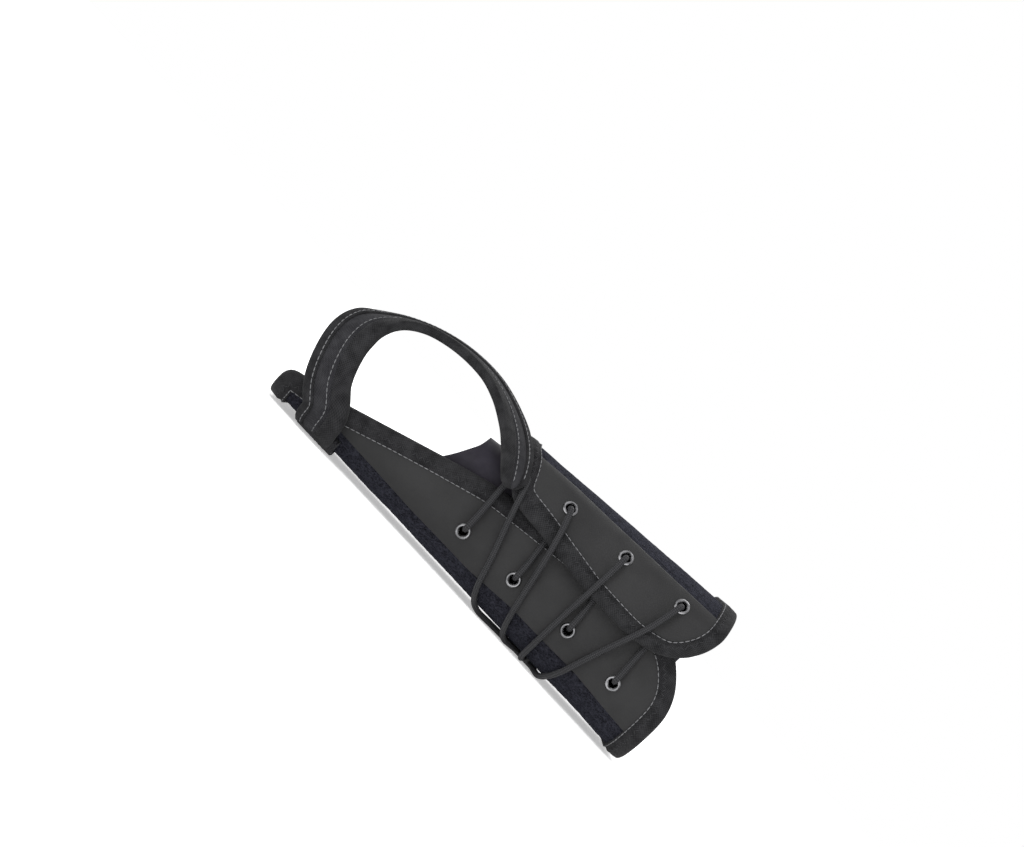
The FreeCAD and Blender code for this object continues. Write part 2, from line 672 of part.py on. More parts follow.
grip.Placement = Placement(Vector(cell("tab_place"), 31.5, cell("tab_thickness") + 0.05), Rotation())
node(grip, "pull_tab_grip")

# ---------------------------------------------------------------- thumb strap

_, anchor_height, anchor_centre, anchor_corner = section(-75)
ARC_CENTRE = Vector(0, -(section(-75)[0] - anchor_corner), anchor_centre - anchor_height + anchor_corner)
anchor_block = add("Part::Box", "anchor_block")
anchor_block.setExpression("Length", "sizes.anchor_length")
anchor_block.Width = 50
anchor_block.Height = 16
anchor_block.Placement = Placement(Vector(cell("anchor_start"), cell("anchor_edge") - 50, -1), Rotation())
anchor_end = add("Part::Box", "anchor_end")
anchor_end.Length = 60
anchor_end.Width = 60
anchor_end.Height = 60
upward = Vector(0, -math.sqrt(0.5), math.sqrt(0.5))
anchor_end.Placement = Placement(Vector(-110, 0, 0) + ARC_CENTRE + upward * 58.4, Rotation(Vector(1, 0, 0), 225))
anchor_strip = common("thumb_strap_anchor_strip", shell("anchor_in", "anchor_out"), anchor_block)
node(cut("thumb_strap_anchor", anchor_strip, anchor_end), "thumb_strap_anchor")

# the strap's middle line as (x, y, z), its outward direction and its width at each place
STRAP = [
    ((-77.5, -36.7, 6.0), (0, -0.76, -0.65), 18),
    ((-79.0, -41.3, 12.8), (0, -0.95, -0.3), 18),
    ((-86.0, -42.3, 20.5), (0, -1, 0), 18),
    ((-90.5, -42.4, 29.5), (-0.1, -1, 0.1), 18),
    ((-93.0, -39.6, 38.5), (-0.25, -0.95, 0.2), 18),
    ((-92.3, -35.2, 46.8), (-0.55, -0.7, 0.45), 18),
    ((-87.5, -29.8, 53.8), (-0.72, -0.35, 0.6), 18),
    ((-80.0, -25.0, 59.7), (-0.6, -0.15, 0.8), 18),
    ((-70.0, -21.2, 64.2), (-0.4, -0.1, 0.92), 18),
    ((-58.0, -19.2, 67.0), (-0.12, -0.12, 1), 18),
    ((-45.5, -19.6, 67.4), (0.15, -0.2, 1), 18),
    ((-34.5, -22.4, 65.0), (0.3, -0.35, 0.9), 17),
    ((-25.0, -28.0, 60.4), (0.3, -0.6, 0.75), 15),
    ((-17.8, -34.6, 55.0), (0.25, -0.8, 0.5), 13),
    ((-12.2, -39.2, 49.4), (0.12, -0.93, 0.3), 10),
    ((-8.6, -40.6, 45.0), (0, -0.98, 0.15), 7),
]


def ribbon(first_side, last_side, low, high, stations):
    """A band along the strap: from first_side to last_side as shares of half its width, low to high in lift."""
    wires = []
    count = len(stations)
    for index, (place, out, width) in enumerate(stations):
        here = Vector(*place)
        ahead = Vector(*stations[min(index + 1, count - 1)][0]) - Vector(*stations[max(index - 1, 0)][0])
        ahead.normalize()
        side = Vector(*out).cross(ahead)
        side.normalize()
        lift = ahead.cross(side)
        spots = []
        for share, level in ((first_side, low), (last_side, low), (last_side, high), (first_side, high)):
            spots.append(here + side * (share * width / 2) + lift * level)
        wires.append(Part.makePolygon(spots + [spots[0]]))
    return Part.makeLoft(wires, True, True)


half_strap = cell("strap_thickness") / 2
tape_top = half_strap + 0.05 + cell("strap_tape_height")
tape_share = 1 - 2 * cell("strap_tape_width") / 18
webbing_form = add("Part::Feature", "thumb_strap_form")
webbing_form.Shape = ribbon(-1, 1, -half_strap, half_strap, STRAP)
webbing_form.Placement = Placement()
node(cut("thumb_strap", webbing_form, pressed), "thumb_strap")
tape_form = add("Part::Feature", "thumb_strap_tape_form")
tape_form.Shape = Part.makeCompound([
    ribbon(-1, -tape_share, half_strap + 0.4, tape_top, STRAP),
    ribbon(tape_share, 1, half_strap + 0.4, tape_top, STRAP),
])
tape_form.Placement = Placement()
node(tape_form, "thumb_strap_binding")

# ---------------------------------------------------------------- check and write

doc.recompute()
for obj in doc.Objects:
    if "Invalid" in obj.State or "Error" in obj.State:
        raise RuntimeError("%s did not recompute: %s" % (obj.Name, obj.State))
os.makedirs("parts", exist_ok=True)
for part in nodes:
    shape = part.Shape
    if shape.isNull() or not shape.isValid() or not shape.Solids:
        raise RuntimeError("%s has no valid solid" % part.Label)
    print("%-24s %2d solid(s) %9.1f mm3" % (part.Label, len(shape.Solids), shape.Volume))
for part in nodes:
    part.Shape.exportStep(os.path.join("parts", part.Label + ".step"))
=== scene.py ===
import math

import bmesh
import bpy
import numpy as np
from mathutils import Matrix, Vector


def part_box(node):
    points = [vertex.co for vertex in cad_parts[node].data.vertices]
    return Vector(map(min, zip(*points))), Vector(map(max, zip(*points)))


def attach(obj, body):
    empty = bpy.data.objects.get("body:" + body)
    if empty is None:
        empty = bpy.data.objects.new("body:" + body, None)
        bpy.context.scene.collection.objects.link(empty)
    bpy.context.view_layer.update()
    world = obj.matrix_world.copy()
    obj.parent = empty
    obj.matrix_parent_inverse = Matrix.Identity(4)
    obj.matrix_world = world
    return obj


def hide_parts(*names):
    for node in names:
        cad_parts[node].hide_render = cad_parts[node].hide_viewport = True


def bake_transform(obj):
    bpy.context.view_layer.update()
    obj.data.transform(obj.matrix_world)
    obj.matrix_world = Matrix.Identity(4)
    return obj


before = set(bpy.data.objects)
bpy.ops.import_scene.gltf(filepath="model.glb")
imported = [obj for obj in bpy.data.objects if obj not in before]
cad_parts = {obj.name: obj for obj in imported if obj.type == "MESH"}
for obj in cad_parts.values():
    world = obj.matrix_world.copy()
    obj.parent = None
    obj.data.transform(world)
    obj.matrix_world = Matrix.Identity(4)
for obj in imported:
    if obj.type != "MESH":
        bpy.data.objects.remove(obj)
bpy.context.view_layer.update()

# Left wrist splint with elastic lacing. Shapes are worked out in millimetres and made in metres.
# +X runs from the hand to the elbow, +Z from the back of the hand to the palm, and -Y to the thumb side.
MM = 0.001

# ---------------------------------------------------------------- the oval section of the arm

WRIST_HALF_WIDTH, WRIST_PLACE, WIDTH_FLARE = 35.0, -20.0, 0.0006
DORSAL_LEVEL, CROWN_LEVEL, CROWN_SLOPE, CORNER_SHARE = 2.8, 61.0, 0.165, 0.7


def oval(x):
    """Half width, half height, centre height and corner radius of the section at x."""
    half_width = WRIST_HALF_WIDTH + WIDTH_FLARE * (x - WRIST_PLACE) ** 2
    half_height = (CROWN_LEVEL + CROWN_SLOPE * x - DORSAL_LEVEL) / 2
    return half_width, half_height, DORSAL_LEVEL + half_height, CORNER_SHARE * half_height


# above this height the crown sinks by this share, which it reaches gently over a few millimetres
SETTLE_FROM, SETTLE_SHARE, SETTLE_SOFT = 60.0, 0.36, 3.0


def half_girth(x):
    """Distance along the section from the dorsal middle round to the palmar middle."""
    a, b, _, r = oval(x)
    return 2 * (a - r) + 2 * (b - r) + math.pi * r


def wall(x, s, k):
    """Points at s along the section from the dorsal middle, positive to the thumb side, raised by k."""
    x, s, k = np.broadcast_arrays(np.asarray(x, float), np.asarray(s, float), np.asarray(k, float))
    a, b, c, r = oval(x)
    half = half_girth(x)
    side = np.where(s < 0, -1.0, 1.0)
    t = np.abs(s)
    past = t > half
    t = np.where(past, 2 * half - t, t)
    side = np.where(past, -side, side)
    flat, arc, rise = a - r, math.pi / 2 * r, 2 * (b - r)
    low = np.clip((t - flat) / r, 0, math.pi / 2)
    high = np.clip((t - flat - arc - rise) / r, 0, math.pi / 2)
    turn = low + high
    out, up = np.sin(turn), -np.cos(turn)
    climbed = np.clip(t - flat - arc, 0, rise)
    over = np.clip(t - flat - 2 * arc - rise, 0, None)
    y = np.minimum(t, flat) - over + r * out
    z = c - (b - r) + climbed + r * up
    return settled(np.stack([x, -side * (y + k * out), z + k * up], axis=-1))


def settled(points):
    """Lets the soft crown sink towards the arm, more the higher it stands, as a laced flap does."""
    above = np.clip(points[..., 2] - SETTLE_FROM, 0, None)
    sunk = SETTLE_SHARE * above ** 2 / (above + SETTLE_SOFT)
    return points - sunk[..., None] * np.array([0, 0, 1])


def climb(x, z, k=0.0):
    """The distance s at which the thumb side, raised by k, reaches the height z."""
    a, b, c, r = oval(x)
    flat, arc, rise = a - r, math.pi / 2 * r, 2 * (b - r)
    low = np.arccos(np.clip((c - (b - r) - z) / (r + k), 0, 1)) * r
    middle = np.clip(z - (c - (b - r)), 0, rise)
    high = np.arcsin(np.clip((z - (c + b - r)) / (r + k), 0, 1)) * r
    return flat + low + middle + high


# ---------------------------------------------------------------- outlines

# Each corner is (x, z, its radius). The flap's front and the elbow ends are rounder than in the CAD.

DORSAL_TOP = [(-100, 4, 0), (-100, 12.5, 5), (-77, 17.8, 40), (-35, 32.1, 60), (-12, 39.5, 60),
              (40, 47.5, 80), (78, 49, 26), (95, 33, 26), (97, 4, 0)]
DORSAL_BACK = [(-100, 3.2, 0), (-100, 8, 5), (-60, 20, 60), (-14, 24.5, 60), (96, 32.5, 8), (97, 3.2, 0)]
PALMAR_FRONT = [(-17.5, 62.8, 0), (-17.2, 61.6, 9), (-11, 54, 14), (-6, 42.9, 5), (20, 40.8, 80),
                (40, 39.4, 80), (63, 39.2, 50), (80, 43.5, 20), (89, 58, 26), (88, 79.5, 0)]
PALMAR_BACK = [(-17.5, 62.8, 0), (-17.5, 39.6, 5), (88, 48, 5), (88, 79.5, 0)]
DORSAL_SEAM = [(-96, 12.0, 0), (-60, 11.0, 40), (-28, 10.6, 60), (2, 10.8, 60), (26, 13, 60), (60, 13.8, 60),
               (94, 12.5, 0)]
PALMAR_SEAM = [(-15.5, 59.8, 0), (10, 63.3, 60), (40, 66.1, 90), (80, 70.1, 90), (87, 70.6, 0)]
FLAP_LEVEL = 5.5
DORSAL_HOLES = [(-8.7, 19.4), (18.2, 20.9), (46.7, 22.9), (73.2, 21.9)]
PALMAR_HOLES = [(13.0, 55.4), (41.3, 58.1), (69.4, 61.0)]


def rounded(corners, spacing=1.0):
    """An open line through the corners, each rounded by its own radius, sampled evenly."""
    spots = [np.array(corners[0][:2], float)]
    for before, here, after in zip(corners, corners[1:], corners[2:]):
        corner = np.array(here[:2], float)
        back = np.array(before[:2], float) - corner
        on = np.array(after[:2], float) - corner
        shortest = min(np.linalg.norm(back), np.linalg.norm(on)) * 0.48
        back, on = unit(back), unit(on)
        half_turn = (math.pi - math.acos(np.clip(back @ on, -1, 1))) / 2
        reach = min(here[2] * math.tan(half_turn), shortest)
        if reach < 0.01:
            spots.append(corner)
            continue
        start, end = corner + back * reach, corner + on * reach
        for share in np.linspace(0, 1, 15):
            spots.append((1 - share) ** 2 * start + 2 * share * (1 - share) * corner + share ** 2 * end)
    spots.append(np.array(corners[-1][:2], float))
    return resample(np.array(spots), spacing)


def travelled(line):
    """The distance along a line at each of its points."""
    return np.concatenate([[0], np.cumsum(np.linalg.norm(np.diff(line, axis=0), axis=1))])


def unit(rows):
    """Each row of numbers as a direction of length 1."""
    return rows / np.linalg.norm(rows, axis=-1, keepdims=True)


def read_at(places, lengths, rows):
    """Rows of numbers read between their own places, each column on its own."""
    return np.stack([np.interp(places, lengths, column) for column in rows.T], axis=1)


def resample(line, spacing=None, count=None):
    """The same line with its points evenly spaced."""
    lengths = travelled(line)
    if count is None:
        count = max(2, int(lengths[-1] / spacing) + 1)
    return read_at(np.linspace(0, lengths[-1], count), lengths, line)


def smoothed(line, passes, closed=False):
    """The same line with each point drawn towards its neighbours, over and over."""
    line = line.copy()
    for _ in range(passes):
        if closed:
            line = (np.roll(line, 1, axis=0) + 2 * line + np.roll(line, -1, axis=0)) / 4
        else:
            line[1:-1] = (line[:-2] + 2 * line[1:-1] + line[2:]) / 4
    return line


def from_dorsal(line):
    """An outline in x and z on the thumb side, as x and s from the dorsal middle."""
    return np.stack([line[:, 0], climb(line[:, 0], line[:, 1])], axis=1)


def from_palmar(line):
    """The same on the flap's own level, with s from the palmar middle."""
    return np.stack([line[:, 0], half_girth(line[:, 0]) - climb(line[:, 0], line[:, 1], FLAP_LEVEL)], axis=1)


def dorsal_wall(x, s, k):
    return wall(x, s, k)


def palmar_wall(x, s, k):
    return wall(x, half_girth(np.asarray(x, float)) - s, k)


dorsal_top = from_dorsal(rounded(DORSAL_TOP))
dorsal_back = from_dorsal(rounded(DORSAL_BACK)) * np.array([1, -1])
palmar_front = from_palmar(rounded(PALMAR_FRONT))
palmar_back = from_palmar(rounded(PALMAR_BACK)) * np.array([1, -1])
dorsal_seam = from_dorsal(rounded(DORSAL_SEAM))
palmar_seam = from_palmar(rounded(PALMAR_SEAM))


def ring_of(front, back):
    """The closed edge of a panel: its front line, then its back line the other way."""
    return resample(np.concatenate([front, back[::-1], front[:1]]), 1.0)[:-1]


# ---------------------------------------------------------------- meshes


def make(name, points, faces, material, smooth=True, uvs=None, corner_uvs=None):
    mesh = bpy.data.meshes.new(name)
    mesh.from_pydata([tuple(p * MM) for p in np.asarray(points, float).reshape(-1, 3)], [], faces)
    mesh.update()
    if uvs is not None:
        layer = mesh.uv_layers.new(name="UVMap")
        at_corners = np.asarray(uvs, float)[[loop.vertex_index for loop in mesh.loops]]
        layer.data.foreach_set("uv", at_corners.ravel())
    if corner_uvs is not None:
        layer = mesh.uv_layers.new(name="UVMap")
        rest = np.zeros((len(mesh.loops) - len(corner_uvs), 2))
        layer.data.foreach_set("uv", np.concatenate([corner_uvs, rest]).ravel())
    obj = bpy.data.objects.new(name, mesh)
    bpy.context.scene.collection.objects.link(obj)
    mesh.materials.append(material)
    if smooth:
        mesh.polygons.foreach_set("use_smooth", [True] * len(mesh.polygons))
    fix_normals(obj)
    return obj


def fix_normals(obj):
    made = bmesh.new()
    made.from_mesh(obj.data)
    bmesh.ops.recalc_face_normals(made, faces=made.faces)
    made.to_mesh(obj.data)
    made.free()


def grid_faces(rows, columns, start=0, around=False, along=False):
    """Quads over a grid of points; around closes each row, and along closes the columns."""
    faces = []
    for i in range(rows if along else rows - 1):
        for j in range(columns if around else columns - 1):
            n, m = (i + 1) % rows, (j + 1) % columns
            faces.append((start + i * columns + j, start + i * columns + m, start + n * columns + m,
                          start + n * columns + j))
    return faces


def rod_faces(rings, sides, start=0):
    """The faces of a closed rod: its side, then its two flat ends."""
    last = start + (rings - 1) * sides
    ends = [tuple(range(start, start + sides)), tuple(reversed(range(last, last + sides)))]
    return grid_faces(rings, sides, start, around=True) + ends


def turns(count):
    """Angles spaced evenly once round."""
    return np.linspace(0, 2 * math.pi, count + 1)[:-1]


def grid_uvs(along, across):
    """Texture places of each quad's corners, for the faces that grid_faces makes first."""
    along, across = np.asarray(along, float), np.asarray(across, float)
    u = np.stack([along[:-1], along[:-1], along[1:], along[1:]], axis=1)[:, None, :]
    v = np.stack([across[:-1], across[1:], across[1:], across[:-1]], axis=1)[None]
    return np.stack(np.broadcast_arrays(u, v), axis=-1).reshape(-1, 2)


def slab(low_grid, high_grid):
    """A closed sheet between two grids of points of the same size."""
    rows, columns = low_grid.shape[:2]
    points = np.concatenate([low_grid.reshape(-1, 3), high_grid.reshape(-1, 3)])
    size = rows * columns
    faces = grid_faces(rows, columns, size)
    faces += [tuple(reversed(face)) for face in grid_faces(rows, columns)]
    edge = list(range(columns))
    edge += [i * columns + columns - 1 for i in range(1, rows)]
    edge += [(rows - 1) * columns + j for j in range(columns - 2, -1, -1)]
    edge += [i * columns for i in range(rows - 2, 0, -1)]
    for here, there in zip(edge, edge[1:] + edge[:1]):
        faces.append((here, there, there + size, here + size))
    return points, faces


def waves(x, s, size, seed):
    """A smooth uneven surface, from -1 to 1, as a sum of seeded waves of about one size."""
    rng = np.random.default_rng(seed)
    total = 0
    for _ in range(7):
        angle, phase = rng.uniform(0, 2 * math.pi, 2)
        pitch = size * rng.uniform(0.7, 1.5)
        total = total + np.sin((x * math.cos(angle) + s * math.sin(angle)) * 2 * math.pi / pitch + phase)
    return total / 4.5


def calm(points):
    """1 far from the eyelets and 0 at each, so that cloth lies flat under its metal."""
    rest = 1.0
    for holes in (dorsal_eyelet_spots, palmar_eyelet_spots):
        for spot in holes:
            gap = np.linalg.norm(points - spot, axis=-1)
            rest = rest * (1 - np.exp(-(gap / 6.0) ** 2))
    return rest


def eyelet_spots(holes, k):
    return [wall(x, climb(x, z, k), k) for x, z in holes]


dorsal_eyelet_spots = eyelet_spots(DORSAL_HOLES, 0.0)
palmar_eyelet_spots = eyelet_spots(PALMAR_HOLES, 6.0)


def outward(around, x, s, k):
    """The unit normal of a wall at points of it."""
    step = 0.2
    along = around(x + step, s, k) - around(x - step, s, k)
    across = around(x, s + step, k) - around(x, s - step, k)
    normal = unit(np.cross(along, across))
    away = around(x, s, np.asarray(k) + 1.0) - around(x, s, k)
    return normal * np.sign((normal * away).sum(axis=-1, keepdims=True))


def panel(name, around, front, back, k_low, k_high, columns, rows, material, ripple=0.0, pitch=25.0, seed=1,
          holes=(), hole_radius=2.6, nap=0.0):
    """A sheet between two edge lines on a wall, gently uneven, pinched to each eyelet, brushed by the nap."""
    front, back = resample(front, count=columns), resample(back, count=columns)
    share = np.linspace(0, 1, rows)[:, None, None]
    flat = back[None] * (1 - share) + front[None] * share
    x, s = flat[..., 0], flat[..., 1]
    lift = ripple * waves(x, s, pitch, seed) * calm(around(x, s, k_high))
    brushed = nap * np.random.default_rng(seed + 40).uniform(-1, 1, x.shape) * calm(around(x, s, k_high))
    low, high = around(x, s, k_low + lift), around(x, s, k_high + lift + brushed)
    points, faces = slab(low, high)
    obj = make(name, points, faces, material, uvs=np.tile(flat.reshape(-1, 2) * 0.1, (2, 1)))
    if len(holes):
        punch(obj, holes, hole_radius)
    return obj


def punch(obj, holes, radius):
    """Cuts round holes through a sheet where its eyelets sit."""
    cutters = []
    for index, (point, normal) in enumerate(holes):
        bpy.ops.mesh.primitive_cylinder_add(vertices=28, radius=radius * MM, depth=24 * MM)
        cutter = bpy.context.object
        cutter.name = "cutter_%d" % index
        turn = Vector((0, 0, 1)).rotation_difference(Vector(normal)).to_matrix().to_4x4()
        cutter.matrix_world = Matrix.Translation(Vector(point) * MM) @ turn
        cutters.append(cutter)
    bpy.context.view_layer.update()
    for cutter in cutters:
        change = obj.modifiers.new("hole", "BOOLEAN")
        change.operation = "DIFFERENCE"
        change.solver = "EXACT"
        change.object = cutter
    apply_modifiers(obj)
    for cutter in cutters:
        bpy.data.objects.remove(cutter, do_unlink=True)


def apply_modifiers(obj):
    graph = bpy.context.evaluated_depsgraph_get()
    graph.update()
    mesh = bpy.data.meshes.new_from_object(obj.evaluated_get(graph))
    old = obj.data
    obj.modifiers.clear()
    obj.data = mesh
    bpy.data.meshes.remove(old)


def inward(line, closed):
    """Unit normals of an edge line that point into the panel, eased round its tight corners."""
    if closed:
        tangent = np.roll(line, -1, axis=0) - np.roll(line, 1, axis=0)
    else:
        tangent = np.gradient(line, axis=0)
    tangent = unit(tangent)
    normal = np.stack([tangent[:, 1], -tangent[:, 0]], axis=1)
    middle = line.mean(axis=0)
    if ((middle - line) * normal).sum() < 0:
        normal = -normal
    return unit(smoothed(normal, 14, closed))


def tape(name, around, line, lap, rim, k_low, k_high, material, seed=5):
    """A folded edge tape: flat on both faces, rolled round the edge, and uneven as sewn tape is."""
    normal = inward(line, True)
    middle = (k_low + k_high) / 2
    half = (k_high - k_low) / 2
    profile = []
    for share in np.linspace(0, 1, 9):
        crown = 0.35 * math.sin(math.pi * share)
        tuck = 0.55 * (1 - min(1, share / 0.12)) + 0.3 * math.exp(-((share - 0.24) / 0.06) ** 2)
        profile.append((lap * (1 - share), k_high + crown - tuck))
    for turn in np.linspace(0, math.pi, 11)[1:-1]:
        profile.append((-rim * math.sin(turn), middle + half * math.cos(turn)))
    for share in np.linspace(0, 1, 7):
        profile.append((lap * share, k_low - 0.2 * math.sin(math.pi * share)))
    profile = np.array(profile)
    count = len(line)
    x = line[:, 0][:, None] + normal[:, 0][:, None] * profile[:, 0][None]
    s = line[:, 1][:, None] + normal[:, 1][:, None] * profile[:, 0][None]
    k = np.broadcast_to(profile[:, 1][None], x.shape).copy()
    distance = np.arange(count)[:, None] * 1.0
    pucker = 0.10 * np.sin(distance * 2 * math.pi / 3.0) * (profile[:, 0] > 0.4) * (profile[:, 0] < lap - 0.4)
    k += np.where(k > middle, pucker, 0)
    k += 0.12 * waves(x, s, 16, seed) * np.where(k > middle, 1, 0.2)
    points = around(x, s, k)
    faces = grid_faces(count, len(profile), around=True, along=True)
    girth = np.linalg.norm(np.diff(profile, axis=0, append=profile[:1]), axis=1)
    across = np.concatenate([[0], np.cumsum(girth)])
    run = np.arange(count + 1)
    return make(name, points.reshape(-1, 3), faces, material, corner_uvs=grid_uvs(run * 0.1, across * 0.1))


STITCH_RINGS, STITCH_SIDES = 6, 6


def stitches(name, line, normals, material, pitch=2.3, long=2.0, thick=0.22):
    """Separate sewn stitches along a line of points: short threads that dip into the cloth at each end."""
    lengths = travelled(line)
    points, faces = [], []
    bow = np.sin(np.linspace(0, math.pi, STITCH_RINGS))
    for start in np.arange(0.4, lengths[-1] - long, pitch):
        places = np.linspace(start, start + long, STITCH_RINGS)
        spine, up = read_at(places, lengths, line), read_at(places, lengths, normals)
        side = unit(np.cross(unit(np.gradient(spine, axis=0)), up))
        faces += rod_faces(STITCH_RINGS, STITCH_SIDES, len(points) * STITCH_SIDES)
        for index in range(STITCH_RINGS):
            size = thick * (0.45 + 0.55 * bow[index])
            here = spine[index] + up[index] * (0.42 * bow[index] - 0.22) * thick * 2
            points.append([here + (side[index] * math.cos(t) + up[index] * math.sin(t)) * size
                           for t in turns(STITCH_SIDES)])
    return make(name, np.array(points).reshape(-1, 3), faces, material)


def line_on(around, line, inset, k):
    """A closed sewing line at an inset from an edge, as points and outward normals."""
    spot = smoothed(line + inward(line, True) * inset, 6, True)
    spot = np.concatenate([spot, spot[:1]])
    points = around(spot[:, 0], spot[:, 1], k)
    return points, outward(around, spot[:, 0], spot[:, 1], k)


def zigzag_on(around, line, inset, k, reach=1.0, step=1.5):
    """A zigzag sewing line over an edge tape, as points and outward normals."""
    normal = inward(line, True)
    middle = smoothed(line + normal * inset, 6, True)
    middle = resample(np.concatenate([middle, middle[:1]]), step)
    ahead = unit(np.gradient(middle, axis=0))
    sideways = np.stack([-ahead[:, 1], ahead[:, 0]], axis=1)
    spot = middle + sideways * (reach * (-1.0) ** np.arange(len(middle)))[:, None]
    return around(spot[:, 0], spot[:, 1], k), outward(around, spot[:, 0], spot[:, 1], k)


def zigzag_stitches(name, spots, normals, material, thick=0.2):
    """One short thread from each corner of a zigzag to the next, sunk a little into the tape."""
    points, faces = [], []
    for start, end, up in zip(spots, spots[1:], normals):
        along = unit(end - start)
        side = unit(np.cross(along, up))
        lift = np.cross(side, along)
        faces += rod_faces(5, 5, len(points))
        for share in np.linspace(0.06, 0.94, 5):
            bow = math.sin(math.pi * share)
            here = start + (end - start) * share + lift * (0.9 * bow - 0.75) * thick
            size = thick * (0.5 + 0.5 * bow)
            points += [here + (side * math.cos(t) + lift * math.sin(t)) * size for t in turns(5)]
    return make(name, np.array(points), faces, material)


def tube(name, path, radius, material, sides=14, pitch=4.4):
    """A round cord along a line of points, with texture places that wind with its braid."""
    path = np.asarray(path, float)
    along = unit(np.gradient(path, axis=0))
    side = np.cross(along[0], (0.3, 0.2, 1.0))
    rings = []
    for spot, way in zip(path, along):
        side = unit(side - way * (side @ way))
        other = np.cross(way, side)
        rings.append([spot + (side * math.cos(t) + other * math.sin(t)) * radius for t in turns(sides)])
    uvs = grid_uvs(travelled(path) / pitch, np.arange(sides + 1) / sides)
    return make(name, np.array(rings).reshape(-1, 3), rod_faces(len(path), sides), material, corner_uvs=uvs)


# ---------------------------------------------------------------- materials


class Finish:
    """A material with a principled shader, and short ways to add the nodes that it needs."""

    def __init__(self, name, colour, roughness, metallic=0.0, specular=0.5, sheen=0.0, sheen_tint=(1, 1, 1)):
        self.material = bpy.data.materials.new(name)
        self.material.use_nodes = True
        self.tree = self.material.node_tree
        self.shader = self.tree.nodes["Principled BSDF"]
        self.shader.inputs["Base Color"].default_value = (*colour, 1)
        self.shader.inputs["Roughness"].default_value = roughness
        self.shader.inputs["Metallic"].default_value = metallic
        self.shader.inputs["Specular IOR Level"].default_value = specular
        self.shader.inputs["Sheen Weight"].default_value = sheen
        self.shader.inputs["Sheen Roughness"].default_value = 0.45
        self.shader.inputs["Sheen Tint"].default_value = (*sheen_tint, 1)
        self.places = self.tree.nodes.new("ShaderNodeTexCoord")
        self.material.diffuse_color = (*colour, 1)

    def node(self, kind, **settings):
        made = self.tree.nodes.new(kind)
        for word, value in settings.items():
            setattr(made, word, value)
        return made

    def link(self, start, end):
        self.tree.links.new(start, end)

    def noise(self, scale, detail=3.0, places="Object", roughness=0.55):
        made = self.node("ShaderNodeTexNoise")
        made.inputs["Scale"].default_value = scale
        made.inputs["Detail"].default_value = detail
        made.inputs["Roughness"].default_value = roughness
        self.link(self.places.outputs[places], made.inputs["Vector"])
        return made.outputs["Fac"]

    def cells(self, scale, feature="F1", places="Object", randomness=1.0):
        made = self.node("ShaderNodeTexVoronoi", feature=feature)
        made.inputs["Scale"].default_value = scale
        made.inputs["Randomness"].default_value = randomness
        self.link(self.places.outputs[places], made.inputs["Vector"])
        return made.outputs["Distance"]

    def math(self, operation, first, second=0.0, third=None):
        made = self.node("ShaderNodeMath", operation=operation)
        for socket, value in zip(made.inputs, (first, second, third)):
            if value is None:
                continue
            if isinstance(value, (int, float)):
                socket.default_value = value
            else:
                self.link(value, socket)
        return made.outputs[0]

    def mixed(self, share, first, second):
        made = self.node("ShaderNodeMix", data_type="RGBA")
        self.link(share, made.inputs["Factor"])
        made.inputs["A"].default_value = (*first, 1)
        made.inputs["B"].default_value = (*second, 1)
        return made.outputs["Result"]

    def ramp(self, source, low, high, first=0.0, last=1.0):
        made = self.node("ShaderNodeMapRange")
        self.link(source, made.inputs["Value"])
        made.inputs["From Min"].default_value = low
        made.inputs["From Max"].default_value = high
        made.inputs["To Min"].default_value = first
        made.inputs["To Max"].default_value = last
        return made.outputs["Result"]

    def colour(self, source):
        self.link(source, self.shader.inputs["Base Color"])

    def rough(self, source):
        self.link(source, self.shader.inputs["Roughness"])

    def clouded(self, scale, detail, dark, light):
        """A colour that drifts between two."""
        self.colour(self.mixed(self.ramp(self.noise(scale, detail), 0.35, 0.65), dark, light))

    def uneven(self, scale, detail, low, high):
        """A roughness that drifts between two values."""
        self.rough(self.ramp(self.noise(scale, detail), 0.3, 0.7, low, high))

    def bump(self, *layers):
        """Layers of (height, strength, depth in metres), each on top of the one before."""
        normal = None
        for height, strength, depth in layers:
            made = self.node("ShaderNodeBump")
            made.inputs["Strength"].default_value = strength
            made.inputs["Distance"].default_value = depth
            self.link(height, made.inputs["Height"])
            if normal is not None:
                self.link(normal, made.inputs["Normal"])
            normal = made.outputs["Normal"]
        self.link(normal, self.shader.inputs["Normal"])

    def woven(self, along, across):
        """A height that goes over and under in both directions, on the piece's own texture places."""
        split = self.node("ShaderNodeSeparateXYZ")
        self.link(self.places.outputs["UV"], split.inputs[0])
        first = self.math("SINE", self.math("MULTIPLY", split.outputs["X"], 2 * math.pi * along))
        second = self.math("SINE", self.math("MULTIPLY", split.outputs["Y"], 2 * math.pi * across))
        return self.ramp(self.math("MULTIPLY", first, second), -1, 1)

    def braided(self, turns):
        """Two sets of strands that wind opposite ways round a cord."""
        split = self.node("ShaderNodeSeparateXYZ")
        self.link(self.places.outputs["UV"], split.inputs[0])
        run = self.math("MULTIPLY", split.outputs["X"], 2 * math.pi)
        round_it = self.math("MULTIPLY", split.outputs["Y"], 2 * math.pi * turns)
        left = self.math("SINE", self.math("ADD", self.math("MULTIPLY", run, 3.0), round_it))
        right = self.math("SINE", self.math("SUBTRACT", self.math("MULTIPLY", run, 3.0), round_it))
        return self.ramp(self.math("MULTIPLY", left, right), -1, 1)


